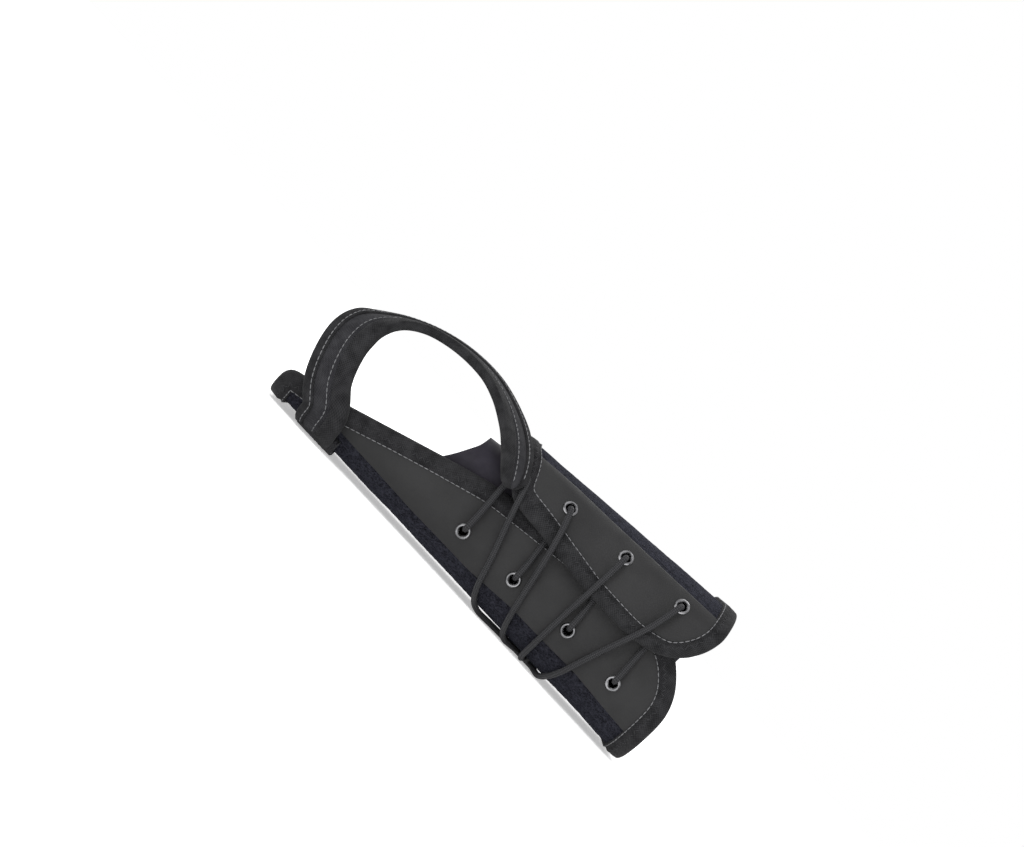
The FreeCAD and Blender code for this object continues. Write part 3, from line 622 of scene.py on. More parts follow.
def loop_laminate():
    made = Finish("loop_laminate", (0.012, 0.012, 0.018), 0.92, specular=0.06, sheen=0.03,
                  sheen_tint=(0.6, 0.65, 1))
    tuft = made.cells(1150)
    cloud = made.noise(420, 4)
    mottle = made.ramp(made.math("ADD", made.math("MULTIPLY", cloud, 0.8), made.math("MULTIPLY", tuft, 0.5)),
                       0.42, 0.86)
    made.colour(made.mixed(mottle, (0.003, 0.003, 0.0045), (0.023, 0.0235, 0.031)))
    made.rough(made.ramp(cloud, 0.3, 0.7, 0.85, 1.0))
    made.bump((made.noise(900, 5, roughness=0.7), 0.8, 0.0006), (tuft, 0.6, 0.0005))
    return made.material


def facing_leatherette():
    made = Finish("facing_leatherette", (0.0195, 0.0195, 0.020), 0.58, specular=0.14)
    made.clouded(38, 3, (0.0165, 0.0165, 0.017), (0.0225, 0.0225, 0.023))
    made.uneven(160, 3, 0.50, 0.66)
    made.bump((made.cells(1500), 0.16, 0.0003), (made.noise(2600, 2), 0.12, 0.0002))
    return made.material


def edge_tape():
    made = Finish("edge_tape", (0.016, 0.016, 0.018), 0.85, specular=0.08, sheen=0.03)
    knit = made.woven(9, 11)
    fuzz = made.noise(1500, 4, roughness=0.7)
    blotch = made.noise(210, 3)
    made.colour(made.mixed(made.ramp(made.math("ADD", made.math("MULTIPLY", knit, 0.35),
                                                made.math("MULTIPLY", blotch, 0.8)), 0.3, 0.8),
                           (0.0045, 0.0045, 0.005), (0.026, 0.026, 0.0275)))
    made.rough(made.ramp(fuzz, 0.3, 0.7, 0.78, 0.95))
    made.bump((knit, 0.5, 0.0003), (fuzz, 0.5, 0.0003))
    return made.material


def lining():
    made = Finish("lining", (0.02, 0.02, 0.025), 0.8, specular=0.2, sheen=0.04)
    rib = made.woven(12, 12)
    made.clouded(90, 3, (0.014, 0.014, 0.018), (0.026, 0.026, 0.033))
    made.uneven(500, 2, 0.72, 0.88)
    made.bump((rib, 0.35, 0.0002), (made.noise(1400, 3), 0.25, 0.0002))
    return made.material


def neoprene():
    made = Finish("neoprene", (0.02, 0.018, 0.028), 0.7, specular=0.2, sheen=0.04, sheen_tint=(0.9, 0.85, 1))
    rib = made.woven(14, 14)
    made.clouded(70, 3, (0.014, 0.0125, 0.0175), (0.024, 0.0215, 0.030))
    made.uneven(260, 2, 0.62, 0.78)
    made.bump((rib, 0.25, 0.00015), (made.noise(120, 3), 0.25, 0.0008))
    return made.material


def stretch_mesh():
    made = Finish("stretch_mesh", (0.018, 0.018, 0.022), 0.75, specular=0.2, sheen=0.04)
    rib = made.woven(5, 16)
    made.colour(made.mixed(made.ramp(rib, 0.3, 0.7), (0.010, 0.010, 0.013), (0.030, 0.030, 0.036)))
    made.uneven(700, 2, 0.7, 0.85)
    made.bump((rib, 0.6, 0.0003))
    return made.material


def elastic_cord():
    made = Finish("elastic_cord", (0.018, 0.018, 0.02), 0.62, specular=0.18, sheen=0.02)
    braid = made.braided(4)
    made.colour(made.mixed(braid, (0.007, 0.007, 0.008), (0.036, 0.036, 0.039)))
    made.uneven(1800, 2, 0.55, 0.75)
    made.bump((braid, 0.75, 0.0004), (made.noise(3500, 2), 0.15, 0.0001))
    return made.material


def webbing():
    made = Finish("webbing", (0.018, 0.018, 0.02), 0.8, specular=0.1, sheen=0.03)
    weave = made.woven(7, 9)
    made.colour(made.mixed(made.ramp(made.math("ADD", made.math("MULTIPLY", weave, 0.5),
                                                made.math("MULTIPLY", made.noise(260, 3), 0.6)), 0.3, 0.8),
                           (0.008, 0.008, 0.0095), (0.034, 0.034, 0.037)))
    made.uneven(900, 3, 0.74, 0.92)
    made.bump((weave, 0.5, 0.0003), (made.noise(1600, 4), 0.4, 0.0003))
    return made.material


def thread():
    made = Finish("thread", (0.07, 0.07, 0.073), 0.6, specular=0.3)
    made.clouded(900, 2, (0.09, 0.09, 0.095), (0.15, 0.15, 0.156))
    made.bump((made.noise(4000, 2), 0.4, 0.0001))
    return made.material


def metal(name, dark, light, low, high, scale):
    made = Finish(name, light, low, metallic=1.0)
    made.clouded(scale, 3, dark, light)
    made.uneven(scale * 4, 3, low, high)
    made.bump((made.noise(scale * 8, 2), 0.06, 0.0001))
    return made.material


def moulded(name, colour, light, roughness, specular=0.5):
    made = Finish(name, colour, roughness, specular=specular)
    made.clouded(60, 3, colour, light)
    made.uneven(300, 3, roughness - 0.07, roughness + 0.07)
    made.bump((made.noise(2500, 3), 0.2, 0.0001))
    return made.material


def studio_floor():
    made = Finish("studio_floor", (0.98, 0.98, 0.98), 1.0, specular=0.0)
    made.colour(made.mixed(made.noise(3, 2), (0.97, 0.97, 0.97), (0.99, 0.99, 0.99)))
    made.shader.inputs["Emission Color"].default_value = (1, 1, 1, 1)
    made.shader.inputs["Emission Strength"].default_value = 0.45
    return made.material


laminate_look, facing_look, tape_look = loop_laminate(), facing_leatherette(), edge_tape()
lining_look, neoprene_look, stretch_look = lining(), neoprene(), stretch_mesh()
cord_look, webbing_look, thread_look = elastic_cord(), webbing(), thread()
eyelet_look = metal("eyelet_metal", (0.12, 0.12, 0.125), (0.30, 0.30, 0.31), 0.18, 0.28, 300)
washer_look = metal("washer_metal", (0.10, 0.10, 0.105), (0.22, 0.22, 0.23), 0.34, 0.48, 300)
stay_look = metal("stay_metal", (0.62, 0.63, 0.65), (0.80, 0.81, 0.83), 0.30, 0.44, 120)
hook_look = moulded("hook_tape", (0.014, 0.014, 0.016), (0.024, 0.024, 0.026), 0.5)
yoke_look = moulded("yoke_plastic", (0.016, 0.016, 0.018), (0.028, 0.028, 0.031), 0.38)
grip_look = moulded("grip_rubber", (0.020, 0.020, 0.022), (0.032, 0.032, 0.034), 0.62, 0.35)

# ---------------------------------------------------------------- dorsal shell


def inset(line, size):
    return smoothed(line + inward(line, False) * size, 4)


def clear_of(line, seam, gap=1.0):
    """The stretch of an edge line that lies past a seam line."""
    past = line[:, 1] > np.interp(line[:, 0], seam[:, 0], seam[:, 1]) + gap
    first, last = np.flatnonzero(past)[[0, -1]]
    return line[first:last + 1]


def seam_under(seam, line):
    x = np.linspace(line[0, 0], line[-1, 0], 200)
    return np.stack([x, np.interp(x, seam[:, 0], seam[:, 1])], axis=1)


def hole_frames(around, holes, k, palmar):
    frames = []
    for x, z in holes:
        s = half_girth(x) - climb(x, z, k) if palmar else climb(x, z, k)
        frames.append((around(x, s, k), outward(around, np.array([x]), np.array([s]), np.array([k]))[0]))
    return frames


dorsal_holes = hole_frames(dorsal_wall, DORSAL_HOLES, 0.0, False)
palmar_holes = hole_frames(palmar_wall, PALMAR_HOLES, 6.0, True)

dorsal_ring = smoothed(ring_of(dorsal_top, dorsal_back), 5, True)
palmar_ring = smoothed(ring_of(palmar_front, palmar_back), 10, True)

# where each layer starts and ends, as its height over the arm's section
DORSAL_LAMINATE, DORSAL_LINING, DORSAL_FACING = (-3.6, 0.0), (-4.5, -3.7), (0.12, 1.05)
DORSAL_TAPE, TONGUE, GUSSET, ANCHOR = (-4.8, 1.3), (-6.05, -5.05), (-1.0, 0.3), (0.25, 2.55)
PALMAR_LAMINATE, PALMAR_LINING, PALMAR_FACING, PALMAR_TAPE = (2.45, 4.9), (1.8, 2.4), (5.0, 5.95), (1.75, 6.2)
LAMINATE_INSET, LAYER_INSET = 3, 4


def edging(half, around, ring, layer, lap, zigzag_inset, zigzag_reach, seed):
    """The folded tape round a panel, the thread line near its inner edge and the zigzag along it."""
    top = layer[1]
    folded = tape("%s_edge_tape" % half, around, ring, lap, 1.2, *layer, tape_look, seed)
    sewn = stitches("%s_edge_stitches" % half, *line_on(around, ring, lap - 0.6, top + 0.15), thread_look)
    zigzag = zigzag_on(around, ring, zigzag_inset, top + 0.32, zigzag_reach)
    return folded, sewn, zigzag_stitches("%s_edge_zigzag" % half, *zigzag, cord_look)


dorsal_body = panel("dorsal_panel_laminate", dorsal_wall, inset(dorsal_top, LAMINATE_INSET),
                    inset(dorsal_back, LAMINATE_INSET), *DORSAL_LAMINATE, 215, 190, laminate_look,
                    ripple=0.22, pitch=22, seed=3, holes=dorsal_holes, nap=0.16)
layer_top = inset(dorsal_top, LAYER_INSET)
dorsal_inside = panel("dorsal_panel_lining", dorsal_wall, layer_top, inset(dorsal_back, LAYER_INSET),
                      *DORSAL_LINING, 160, 130, lining_look,
                      ripple=0.15, pitch=22, seed=3, holes=dorsal_holes)
facing_top = clear_of(layer_top, dorsal_seam)
dorsal_front = panel("dorsal_lacing_facing", dorsal_wall, facing_top, seam_under(dorsal_seam, facing_top),
                     *DORSAL_FACING, 190, 60, facing_look, ripple=0.20, pitch=30, seed=3, holes=dorsal_holes)
dorsal_edging = edging("dorsal", dorsal_wall, dorsal_ring, DORSAL_TAPE, 6.8, 3.6, 1.0, 5)

TONGUE_EDGE = [(-38.5, 28, 0), (-33, 37, 20), (-28.5, 50, 20), (-28, 55.5, 0)]
tongue_free = from_dorsal(rounded(TONGUE_EDGE))
tongue_free = np.concatenate([tongue_free, [(-28, half_girth(-28))]])
tongue_far = np.array([(84, climb(84, 28)), (84, half_girth(84))])
tongue_sheet = panel("lacing_tongue", dorsal_wall, tongue_free, tongue_far, *TONGUE, 90, 130, neoprene_look)

GUSSET_LOW, GUSSET_HIGH = [(-12, 26.3), (86, 33.4)], [(-12, 38.2), (86, 46.1)]
gusset_edges = [from_dorsal(resample(np.array(edge, float), count=60)) * np.array([1, -1])
                for edge in (GUSSET_LOW, GUSSET_HIGH)]
gusset_sheet = panel("ulnar_stretch_gusset", dorsal_wall, *gusset_edges, *GUSSET, 120, 60, stretch_look,
                     ripple=0.3, pitch=9, seed=9)

# ---------------------------------------------------------------- palmar flap

palmar_body = panel("palmar_panel_laminate", palmar_wall, inset(palmar_front, LAMINATE_INSET),
                    inset(palmar_back, LAMINATE_INSET), *PALMAR_LAMINATE, 190, 180, laminate_look,
                    ripple=0.22, pitch=22, seed=4, holes=palmar_holes, nap=0.16)
layer_front = inset(palmar_front, LAYER_INSET)
palmar_inside = panel("palmar_panel_lining", palmar_wall, layer_front, inset(palmar_back, LAYER_INSET),
                      *PALMAR_LINING, 110, 100, lining_look,
                      ripple=0.12, pitch=22, seed=4, holes=palmar_holes)
flap_edge = clear_of(layer_front, palmar_seam)
palmar_face = panel("palmar_lacing_facing", palmar_wall, flap_edge, seam_under(palmar_seam, flap_edge),
                    *PALMAR_FACING, 150, 50, facing_look, ripple=0.20, pitch=30, seed=4, holes=palmar_holes)
palmar_edging = edging("palmar", palmar_wall, palmar_ring, PALMAR_TAPE, 6.0, 3.1, 0.9, 6)

# ---------------------------------------------------------------- thumb strap

# The strap's middle line as (x, y, z), its outward direction and its width at each place. It starts under
# the anchor, one place before the CAD strap, and its last four places stand further out than in the CAD.
STRAP = [
    ((-76.8, -31.5, 3.4), (0, -0.35, -0.94), 17),
    ((-77.5, -36.7, 6.0), (0, -0.76, -0.65), 18),
    ((-79.0, -41.3, 12.8), (0, -0.95, -0.3), 18),
    ((-86.0, -42.3, 20.5), (0, -1, 0), 18),
    ((-90.5, -42.4, 29.5), (-0.1, -1, 0.1), 18),
    ((-93.0, -39.6, 38.5), (-0.25, -0.95, 0.2), 18),
    ((-92.3, -35.2, 46.8), (-0.55, -0.7, 0.45), 18),
    ((-87.5, -29.8, 53.8), (-0.72, -0.35, 0.6), 18),
    ((-80.0, -25.0, 59.7), (-0.6, -0.15, 0.8), 18),
    ((-70.0, -21.2, 64.2), (-0.4, -0.1, 0.92), 18),
    ((-58.0, -19.2, 67.0), (-0.12, -0.12, 1), 18),
    ((-45.5, -19.6, 67.4), (0.15, -0.2, 1), 18),
    ((-34.5, -22.4, 65.0), (0.3, -0.35, 0.9), 17),
    ((-25.0, -29.2, 60.9), (0.3, -0.6, 0.75), 15),
    ((-17.8, -36.8, 55.9), (0.25, -0.8, 0.5), 13.5),
    ((-12.2, -41.9, 49.9), (0.12, -0.93, 0.3), 11.5),
    ((-8.2, -43.4, 44.0), (0, -0.98, 0.15), 8),
]
STRAP_HALF = 1.2


def through(knots, steps):
    """A smooth line through rows of numbers, as a Catmull-Rom spline."""
    knots = np.asarray(knots, float)
    padded = np.concatenate([[2 * knots[0] - knots[1]], knots, [2 * knots[-1] - knots[-2]]])
    made = []
    for a, b, c, d in zip(padded, padded[1:], padded[2:], padded[3:]):
        for t in np.linspace(0, 1, steps, endpoint=False):
            made.append(0.5 * (2 * b + (c - a) * t + (2 * a - 5 * b + 4 * c - d) * t ** 2
                               + (3 * b - a - 3 * c + d) * t ** 3))
    made.append(knots[-1])
    return np.array(made)


def strap_rows():
    """Along the strap: middle points, sideways and outward directions, and half widths."""
    rows = through([[*place, *out, width] for place, out, width in STRAP], 14)
    spots, lift, half = rows[:, :3], rows[:, 3:6], rows[:, 6] / 2
    ahead = unit(np.gradient(spots, axis=0))
    side = unit(np.cross(lift, ahead))
    return spots, side, np.cross(ahead, side), half


def across_strap(spots, side, lift, half, profile):
    """Points of a profile of (share of the half width, height) at each place along the strap."""
    share, height = profile[:, 0], profile[:, 1]
    return (spots[:, None] + side[:, None] * (share[None] * half[:, None])[..., None]
            + lift[:, None] * np.broadcast_to(height, (len(spots), len(height)))[..., None])


strap_line, strap_side, strap_lift, strap_halves = strap_rows()


def rolled_tip(points, spots):
    """Draws the last few rings of a strap in, so that its end is rounded and not sliced."""
    count = 7
    for index in range(count):
        share = (index + 1) / count
        ring = len(spots) - count + index
        middle = spots[ring]
        points[ring] = middle + (points[ring] - middle) * math.sqrt(max(0.06, 1 - share ** 2.5 * 0.9))
    return points


def strap_piece(name, profile, material, texture_across):
    rows, columns = len(strap_line), len(profile)
    points = across_strap(strap_line, strap_side, strap_lift, strap_halves, profile)
    points = rolled_tip(points, strap_line)
    uvs = grid_uvs(travelled(strap_line) * 0.1, np.linspace(0, texture_across, columns + 1))
    return make(name, points.reshape(-1, 3), rod_faces(rows, columns), material, corner_uvs=uvs)


BAND_MIDDLE, BAND_HALF = 0.21, 0.34


def strap_web_profile():
    """The webbing with a raised band nearer its distal edge and a valley beside it on each side."""
    outer = []
    for share in np.linspace(-0.97, 0.97, 45):
        place = (share - BAND_MIDDLE) / BAND_HALF
        band = 0.55 * math.cos(place * math.pi / 2) ** 0.5 if abs(place) < 1 else 0.0
        outer.append((share, STRAP_HALF + band))
    inner = [(share, -STRAP_HALF - 0.15 * (1 - share ** 2)) for share in np.linspace(0.97, -0.97, 13)]
    return np.array(outer + inner)


def strap_tape_profile(sign, start):
    """A folded tape from a share of the half width to one edge of the strap, and round it to the back."""
    points = []
    for share in np.linspace(0, 1, 8):
        tuck = 0.5 * (1 - min(1, share / 0.15)) + 0.22 * math.exp(-((share - 0.27) / 0.07) ** 2)
        crown = 0.15 * math.sin(math.pi * share)
        points.append((start + (0.96 - start) * share, STRAP_HALF + 0.95 + crown - tuck))
    for turn in np.linspace(0, math.pi, 9)[1:-1]:
        points.append((0.96 + 0.075 * math.sin(turn), 0.3 + 1.75 * math.cos(turn)))
    for share in np.linspace(1, 0, 5):
        points.append((start + (0.96 - start) * share, -STRAP_HALF - 0.35))
    return np.array(points) * np.array([sign, 1])


strap_web = strap_piece("thumb_strap_webbing", strap_web_profile(), webbing_look, 4)
strap_tapes = [strap_piece("thumb_strap_tape_%s" % word, strap_tape_profile(sign, start), tape_look, 1.6)
               for word, sign, start in (("distal", 1, 0.56), ("proximal", -1, 0.22))]


def strap_sewing(name, share, height):
    rows = slice(4, len(strap_line) - 5)
    spots = (strap_line + strap_side * (strap_halves * share)[:, None] + strap_lift * height)[rows]
    return stitches(name, spots, strap_lift[rows], thread_look)


strap_rows_sewn = [strap_sewing("thumb_strap_stitches_%s" % word, share, STRAP_HALF + height)
                   for word, share, height in (("distal", 0.68, 0.98), ("proximal", -0.02, 0.38))]

ANCHOR_FROM, ANCHOR_TO, ANCHOR_MIDDLE, ANCHOR_EDGE = -84.0, -66.0, -75.0, 6.0


def anchor_end(x):
    a, b, _, r = oval(x)
    return a - r + r * math.pi / 4 - 0.3


anchor_x = np.linspace(ANCHOR_FROM, ANCHOR_TO, 20)
anchor_near = np.stack([anchor_x, np.full(20, ANCHOR_EDGE)], axis=1)
anchor_far = np.stack([anchor_x, np.full(20, anchor_end(ANCHOR_MIDDLE))], axis=1)
anchor_web = panel("thumb_strap_anchor_webbing", dorsal_wall, anchor_near, anchor_far, *ANCHOR, 40, 50,
                   webbing_look)
ANCHOR_THREAD = 2.52


def anchor_stitches(index, start, end):
    """One side or diagonal of the sewn box."""
    x, s = resample(np.array([start, end], float), 1.0).T
    return stitches("thumb_strap_anchor_stitches_%d" % index, dorsal_wall(x, s, ANCHOR_THREAD),
                    outward(dorsal_wall, x, s, np.full(len(x), ANCHOR_THREAD)), thread_look)


box = [(ANCHOR_FROM + 2.5, ANCHOR_EDGE + 2), (ANCHOR_TO - 2.5, ANCHOR_EDGE + 2),
       (ANCHOR_TO - 2.5, ANCHOR_EDGE + 13), (ANCHOR_FROM + 2.5, ANCHOR_EDGE + 13)]
anchor_sewing = [anchor_stitches(index + 1, box[start], box[end])
                 for index, (start, end) in enumerate([(0, 1), (1, 2), (2, 3), (3, 0), (0, 2), (1, 3)])]

# ---------------------------------------------------------------- laces

# Each lace's route, in metres, as in the CAD: knot, eyelet, flap or strap, and round to the yoke.
LACE_ROUTES = {
    "lace_1": [(-0.0087, -0.0265, 0.0208), (-0.0087, -0.0388, 0.0187), (-0.0092, -0.0384, 0.0275),
               (-0.0102, -0.0383, 0.0360), (-0.0110, -0.0375, 0.0435), (-0.0106, -0.0364, 0.0500),
               (-0.0068, -0.0388, 0.0524), (-0.0046, -0.0420, 0.0475), (-0.0022, -0.0412, 0.0410),
               (0.0010, -0.0388, 0.0330), (0.0046, -0.0383, 0.0245), (0.0074, -0.0374, 0.0172),
               (0.0110, -0.0313, 0.0070), (0.0160, -0.0207, 0.0010), (0.0260, -0.0170, 0.0014),
               (0.0350, -0.0140, 0.0014), (0.0376, -0.0086, 0.0014)],
    "lace_2": [(0.0185, -0.0273, 0.0222), (0.0181, -0.0396, 0.0203), (0.0176, -0.0387, 0.0280),
               (0.0166, -0.0379, 0.0350), (0.0156, -0.0373, 0.0405), (0.0148, -0.0370, 0.0464),
               (0.0138, -0.0307, 0.0512), (0.0127, -0.0414, 0.0573), (0.0160, -0.0436, 0.0495),
               (0.0182, -0.0439, 0.0430), (0.0206, -0.0414, 0.0355), (0.0228, -0.0390, 0.0274),
               (0.0252, -0.0381, 0.0183), (0.0284, -0.0319, 0.0073), (0.0320, -0.0209, 0.0010),
               (0.0380, -0.0145, 0.0014), (0.0412, -0.0086, 0.0014)],
    "lace_3": [(0.0473, -0.0292, 0.0240), (0.0464, -0.0414, 0.0224), (0.0458, -0.0405, 0.0300),
               (0.0446, -0.0396, 0.0370), (0.0438, -0.0390, 0.0436), (0.0432, -0.0384, 0.0500),
               (0.0424, -0.0325, 0.0542), (0.0409, -0.0435, 0.0598), (0.0412, -0.0456, 0.0520),
               (0.0411, -0.0453, 0.0440), (0.0412, -0.0428, 0.0360), (0.0412, -0.0401, 0.0282),
               (0.0413, -0.0392, 0.0189), (0.0418, -0.0326, 0.0075), (0.0428, -0.0212, 0.0010),
               (0.0442, -0.0145, 0.0014), (0.0448, -0.0086, 0.0014)],
    "lace_4": [(0.0740, -0.0314, 0.0238), (0.0728, -0.0435, 0.0210), (0.0724, -0.0430, 0.0285),
               (0.0716, -0.0421, 0.0360), (0.0712, -0.0416, 0.0445), (0.0710, -0.0411, 0.0512),
               (0.0707, -0.0352, 0.0574), (0.0689, -0.0463, 0.0625), (0.0678, -0.0480, 0.0545),
               (0.0662, -0.0476, 0.0455), (0.0638, -0.0446, 0.0368), (0.0614, -0.0419, 0.0284),
               (0.0590, -0.0406, 0.0197), (0.0564, -0.0336, 0.0077), (0.0534, -0.0216, 0.0010),
               (0.0502, -0.0145, 0.0014), (0.0484, -0.0086, 0.0014)],
}
LACE_RADIUS = 1.22
WRAP_HEIGHT = 12.0


def spline_through(route):
    """Points read from the NURBS spline of a route, in millimetres."""
    curve = bpy.data.curves.new("route", "CURVE")
    curve.dimensions = "3D"
    spline = curve.splines.new("NURBS")
    spline.points.add(len(route) - 1)
    for point, place in zip(spline.points, route):
        point.co = (*place, 1)
    spline.order_u = 3
    spline.use_endpoint_u = True
    spline.resolution_u = 16
    holder = bpy.data.objects.new("route", curve)
    bpy.context.scene.collection.objects.link(holder)
    bpy.context.view_layer.update()
    mesh = bpy.data.meshes.new_from_object(holder.evaluated_get(bpy.context.evaluated_depsgraph_get()))
    line = np.array([vertex.co for vertex in mesh.vertices], float) / MM
    bpy.data.objects.remove(holder)
    bpy.data.meshes.remove(mesh)
    return line


def split_where_it_wraps(line):
    """The last place on the way down where a lace passes the height at which it turns under the splint."""
    return int(np.flatnonzero(line[:, 2] > WRAP_HEIGHT)[-1]) + 1


lace_fronts, lace_unders, lace_paths = {}, {}, {}
for lace, route in LACE_ROUTES.items():
    line = spline_through(route)
    turn = split_where_it_wraps(line)
    front, under = line[:turn + 1], line[turn:]
    lace_fronts[lace] = tube(lace + "_front", resample(front, 0.6), LACE_RADIUS, cord_look)
    lace_unders[lace] = tube(lace + "_under", resample(under, 0.6), LACE_RADIUS, cord_look)
    lace_paths[lace] = front, under

# ---------------------------------------------------------------- knots, sleeves, pull tab


def knot(name, centre, normal, size=1.75, thick=0.95):
    """A tied knot behind the panel: a trefoil of cord, lying on the panel."""
    t = turns(60)
    loops = [np.sin(t) + 2 * np.sin(2 * t), np.cos(t) - 2 * np.cos(2 * t), -1.1 * np.sin(3 * t)]
    shape = np.stack(loops, axis=1) * size / 2.4
    turn = Vector((0, 0, 1)).rotation_difference(Vector(normal)).to_matrix()
    placed = shape @ np.array(turn).T + centre
    closed = np.concatenate([placed, placed[:2]])
    return tube(name, closed, thick, cord_look, sides=10)


knots = []
for index, (x, z) in enumerate(DORSAL_HOLES):
    s = climb(x, z)
    normal = outward(dorsal_wall, np.array([x]), np.array([s]), np.array([0.0]))[0]
    knots.append(knot("lace_knot_%d" % (index + 1), wall(x, s, 0.0) - normal * 7.6, normal))


def pillow_bar(name, low, high, material, crown=0.25, tilt=0.0, columns=60, rows=16, corner=3.0):
    """A flat sewn sleeve or tab inside a box: rounded rim, slightly crowned faces."""
    low, high = np.array(low, float), np.array(high, float)
    size, middle = high - low, (low + high) / 2
    long_axis = int(np.argmax(size[:2]))
    u = np.linspace(-1, 1, columns)
    v = np.linspace(-1, 1, rows)
    u, v = np.sin(u * math.pi / 2), np.sin(v * math.pi / 2)
    grid_u, grid_v = np.meshgrid(u, v, indexing="ij")
    half_long, half_wide, half_high = size[long_axis] / 2, size[1 - long_axis] / 2, size[2] / 2
    pull = corner / max(half_wide, corner)
    round_corner = np.clip((np.abs(grid_v) - (1 - pull)) / pull, 0, 1)
    long_scale = 1 - (corner / half_long) * (1 - np.sqrt(1 - round_corner ** 2))
    edge = np.minimum((1 - np.abs(grid_u)) * half_long, (1 - np.abs(grid_v)) * half_wide)
    round_it = np.sqrt(np.clip(1 - (1 - np.clip(edge / half_high, 0, 1)) ** 2, 0, 1))
    height = half_high * (0.25 + (0.75 - crown * 0.2) * round_it)
    height = height + crown * 0.2 * half_high * (1 - grid_v ** 2)
    flat = [None, None]
    flat[long_axis] = middle[long_axis] + grid_u * half_long * long_scale
    flat[1 - long_axis] = middle[1 - long_axis] + grid_v * half_wide
    lean = math.tan(tilt) * (flat[0] - middle[0])
    top = np.stack([flat[0], flat[1], middle[2] + height + lean], axis=-1)
    bottom = np.stack([flat[0], flat[1], middle[2] - height + lean], axis=-1)
    points, faces = slab(settled(bottom), settled(top))
    uvs = np.tile(np.stack([flat[0], flat[1]], axis=-1).reshape(-1, 2) * 0.1, (2, 1))
    return make(name, points, faces, material, uvs=uvs)


def box_mm(node):
    low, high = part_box(node)
    return np.array(low) / MM, np.array(high) / MM


def sewn_border(name, low, high, level, up, inset=1.8, tilt=0.0):
    """A row of stitches round a flat rectangle, level with its face."""
    middle_x = (low[0] + high[0]) / 2
    corners = [(low[0] + inset, low[1] + inset), (high[0] - inset, low[1] + inset),
               (high[0] - inset, high[1] - inset), (low[0] + inset, high[1] - inset)]
    line = resample(np.array(corners + corners[:1], float), 1.0)
    points = np.stack([line[:, 0], line[:, 1], level + math.tan(tilt) * (line[:, 0] - middle_x)], axis=1)
    return stitches(name, settled(points), np.tile([0, 0, up], (len(points), 1)), thread_look, thick=0.24)


dorsal_pocket_low, dorsal_pocket_high = box_mm("dorsal_stay_pocket")
dorsal_pocket = pillow_bar("dorsal_stay_sleeve", dorsal_pocket_low, dorsal_pocket_high, lining_look,
                           columns=150, rows=40)
dorsal_pocket_sewing = sewn_border("dorsal_stay_sleeve_stitches", dorsal_pocket_low, dorsal_pocket_high,
                                   dorsal_pocket_high[2] - 0.1, 1)
palmar_tilt = math.atan(CROWN_SLOPE)
palmar_pocket_low, palmar_pocket_high = box_mm("palmar_stay_pocket")
palmar_rise = (palmar_pocket_high[0] - palmar_pocket_low[0]) * math.tan(palmar_tilt)
pocket_middle = (palmar_pocket_low[2] + palmar_pocket_high[2]) / 2
palmar_pocket_thick = palmar_pocket_high[2] - palmar_pocket_low[2] - palmar_rise
flat_low = np.array([*palmar_pocket_low[:2], pocket_middle - palmar_pocket_thick / 2])
flat_high = np.array([*palmar_pocket_high[:2], pocket_middle + palmar_pocket_thick / 2])
palmar_pocket = pillow_bar("palmar_stay_sleeve", flat_low, flat_high, lining_look, tilt=palmar_tilt,
                           columns=100, rows=40)
palmar_pocket_sewing = sewn_border("palmar_stay_sleeve_stitches", flat_low, flat_high, flat_low[2] + 0.1, -1,
                                   tilt=palmar_tilt)
stay_low, stay_high = box_mm("palmar_stay")
stay_rise = (stay_high[0] - stay_low[0]) * math.tan(palmar_tilt)
stay_low[2] += stay_rise / 2
stay_high[2] -= stay_rise / 2
palmar_strip = pillow_bar("palmar_stay_strip", stay_low, stay_high, stay_look, crown=0.0, tilt=palmar_tilt)

tab_low, tab_high = box_mm("pull_tab")
tab_web = pillow_bar("pull_tab_webbing", tab_low, tab_high, webbing_look, columns=60, rows=30, corner=1.0)
tab_sewing = sewn_border("pull_tab_stitches", tab_low, tab_high, tab_low[2] + 0.05, -1)

hook_low, hook_high = box_mm("pull_tab_hook_patch")
HOOK_PITCH = 1.15


def hook_tape_piece():
    """A moulded backing with rows of small mushroom hooks."""
    backing_low, backing_high = hook_low.copy(), hook_high.copy()
    backing_high[2] = hook_low[2] + 0.45
    xs = np.linspace(backing_low[0], backing_high[0], 12)
    ys = np.linspace(backing_low[1], backing_high[1], 14)
    grid_x, grid_y = np.meshgrid(xs, ys, indexing="ij")
    low_grid = np.stack([grid_x, grid_y, np.full_like(grid_x, backing_low[2])], axis=-1)
    high_grid = np.stack([grid_x, grid_y, np.full_like(grid_x, backing_high[2])], axis=-1)
    points, faces = slab(low_grid, high_grid)
    points, faces = list(points), list(faces)
    stem = [(0.16, 0.0), (0.12, 0.5), (0.3, 0.62), (0.22, 0.78)]
    foot = backing_high[2] - 0.02
    for x in np.arange(backing_low[0] + 0.9, backing_high[0] - 0.6, HOOK_PITCH):
        for y in np.arange(backing_low[1] + 0.9, backing_high[1] - 0.6, HOOK_PITCH):
            faces += rod_faces(len(stem), 6, len(points))
            for radius, rise in stem:
                for t in turns(6):
                    points.append((x + radius * math.cos(t), y + radius * math.sin(t), foot + rise))
    return make("pull_tab_hook_tape", np.array(points), faces, hook_look, smooth=False)


hook_piece = hook_tape_piece()

# ---------------------------------------------------------------- what rides on what

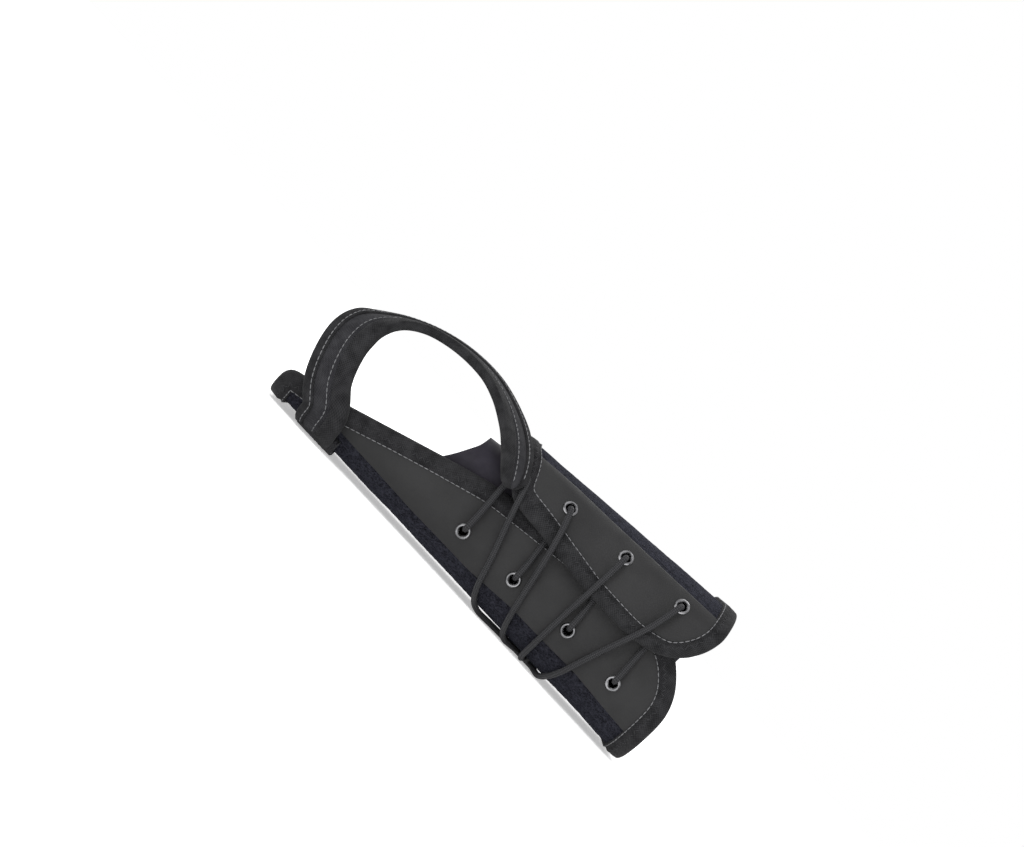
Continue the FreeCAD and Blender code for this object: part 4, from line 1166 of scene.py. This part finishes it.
RIDERS = {
    "dorsal_shell": (dorsal_body, dorsal_inside, dorsal_front, *dorsal_edging, tongue_sheet, dorsal_pocket,
                     dorsal_pocket_sewing, anchor_web, *anchor_sewing, *knots),
    "palmar_flap": (palmar_body, palmar_inside, palmar_face, *palmar_edging, palmar_pocket,
                    palmar_pocket_sewing, palmar_strip),
    "pull_tab": (tab_web, tab_sewing, hook_piece),
}
for body, pieces in RIDERS.items():
    for piece in pieces:
        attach(piece, body)


for piece in (strap_web, *strap_tapes, *strap_rows_sewn):
    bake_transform(piece)
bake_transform(gusset_sheet)
for lace, piece in lace_fronts.items():
    if lace == "lace_1":
        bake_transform(piece)
    else:
        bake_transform(piece)
for piece in lace_unders.values():
    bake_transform(piece)

REPLACED = {
    "dorsal_panel": dorsal_body, "dorsal_liner": dorsal_inside, "dorsal_facing": dorsal_front,
    "dorsal_binding": dorsal_edging[0], "tongue": tongue_sheet, "ulnar_gusset": gusset_sheet,
    "dorsal_stay_pocket": dorsal_pocket, "thumb_strap_anchor": anchor_web, "palmar_panel": palmar_body,
    "palmar_liner": palmar_inside, "palmar_facing": palmar_face, "palmar_binding": palmar_edging[0],
    "palmar_stay_pocket": palmar_pocket, "palmar_stay": palmar_strip, "thumb_strap": strap_web,
    "thumb_strap_binding": strap_tapes[0], "pull_tab": tab_web, "pull_tab_hook_patch": hook_piece,
    "lace_knots": knots[0], **lace_fronts,
}
for node, piece in REPLACED.items():
    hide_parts(node)

KEPT = {"dorsal_eyelets": eyelet_look, "palmar_eyelets": eyelet_look, "dorsal_washers": washer_look,
        "palmar_washers": washer_look, "dorsal_stay": stay_look,
        "lace_yoke": yoke_look, "pull_tab_grip": grip_look}
for name, look in KEPT.items():
    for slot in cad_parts[name].material_slots:
        slot.material = look

# The length of each lace in metres, over the front and then round to the yoke.
LACE_LENGTHS = {"lace_1": (0.090, 0.043), "lace_2": (0.100, 0.033), "lace_3": (0.1015, 0.030),
                "lace_4": (0.110, 0.032)}
for lace, (front_length, under_length) in LACE_LENGTHS.items():
    front, under = (path * MM for path in lace_paths[lace])

# ---------------------------------------------------------------- studio and camera


def studio():
    bpy.ops.mesh.primitive_plane_add(size=12, location=(0, 0, -0.0002))
    ground = bpy.context.object
    ground.name = "studio_ground"
    ground.data.materials.append(studio_floor())
    world = bpy.data.worlds.new("studio_air")
    bpy.context.scene.world = world
    world.use_nodes = True
    world.node_tree.nodes["Background"].inputs["Color"].default_value = (1, 1, 1, 1)
    world.node_tree.nodes["Background"].inputs["Strength"].default_value = 1.0


def softbox(name, place, target, size, power):
    light = bpy.data.lights.new(name, "AREA")
    light.shape = "DISK"
    light.size = size
    light.energy = power
    holder = bpy.data.objects.new(name, light)
    bpy.context.scene.collection.objects.link(holder)
    holder.location = place
    way = Vector(target) - Vector(place)
    holder.rotation_mode = "QUATERNION"
    holder.rotation_quaternion = way.to_track_quat("-Z", "Y")


def photo_camera():
    """A view level with the splint, from the thumb side, rolled so that the arm runs down to the right."""
    data = bpy.data.cameras.new("camera")
    data.sensor_width = 36
    data.lens = 87.9
    holder = bpy.data.objects.new("camera", data)
    bpy.context.scene.collection.objects.link(holder)
    roll = math.radians(47.03)
    right = Vector((math.cos(roll), 0, math.sin(roll)))
    up = Vector((-math.sin(roll), 0, math.cos(roll)))
    back = right.cross(up)
    turn = Matrix((right, up, back)).transposed().to_4x4()
    holder.matrix_world = Matrix.Translation((-0.0263, -1.0, 0.0613)) @ turn
    bpy.context.scene.camera = holder


bpy.context.scene.view_settings.view_transform = "Standard"
photo_camera()
studio()
softbox("key", (-0.7, -0.9, 0.9), (0, 0, 0.04), 0.7, 9)
softbox("fill", (0.8, -0.8, 0.35), (0, 0, 0.04), 0.9, 3)
softbox("rim", (0.1, 0.9, 0.9), (0, 0, 0.04), 0.8, 4)
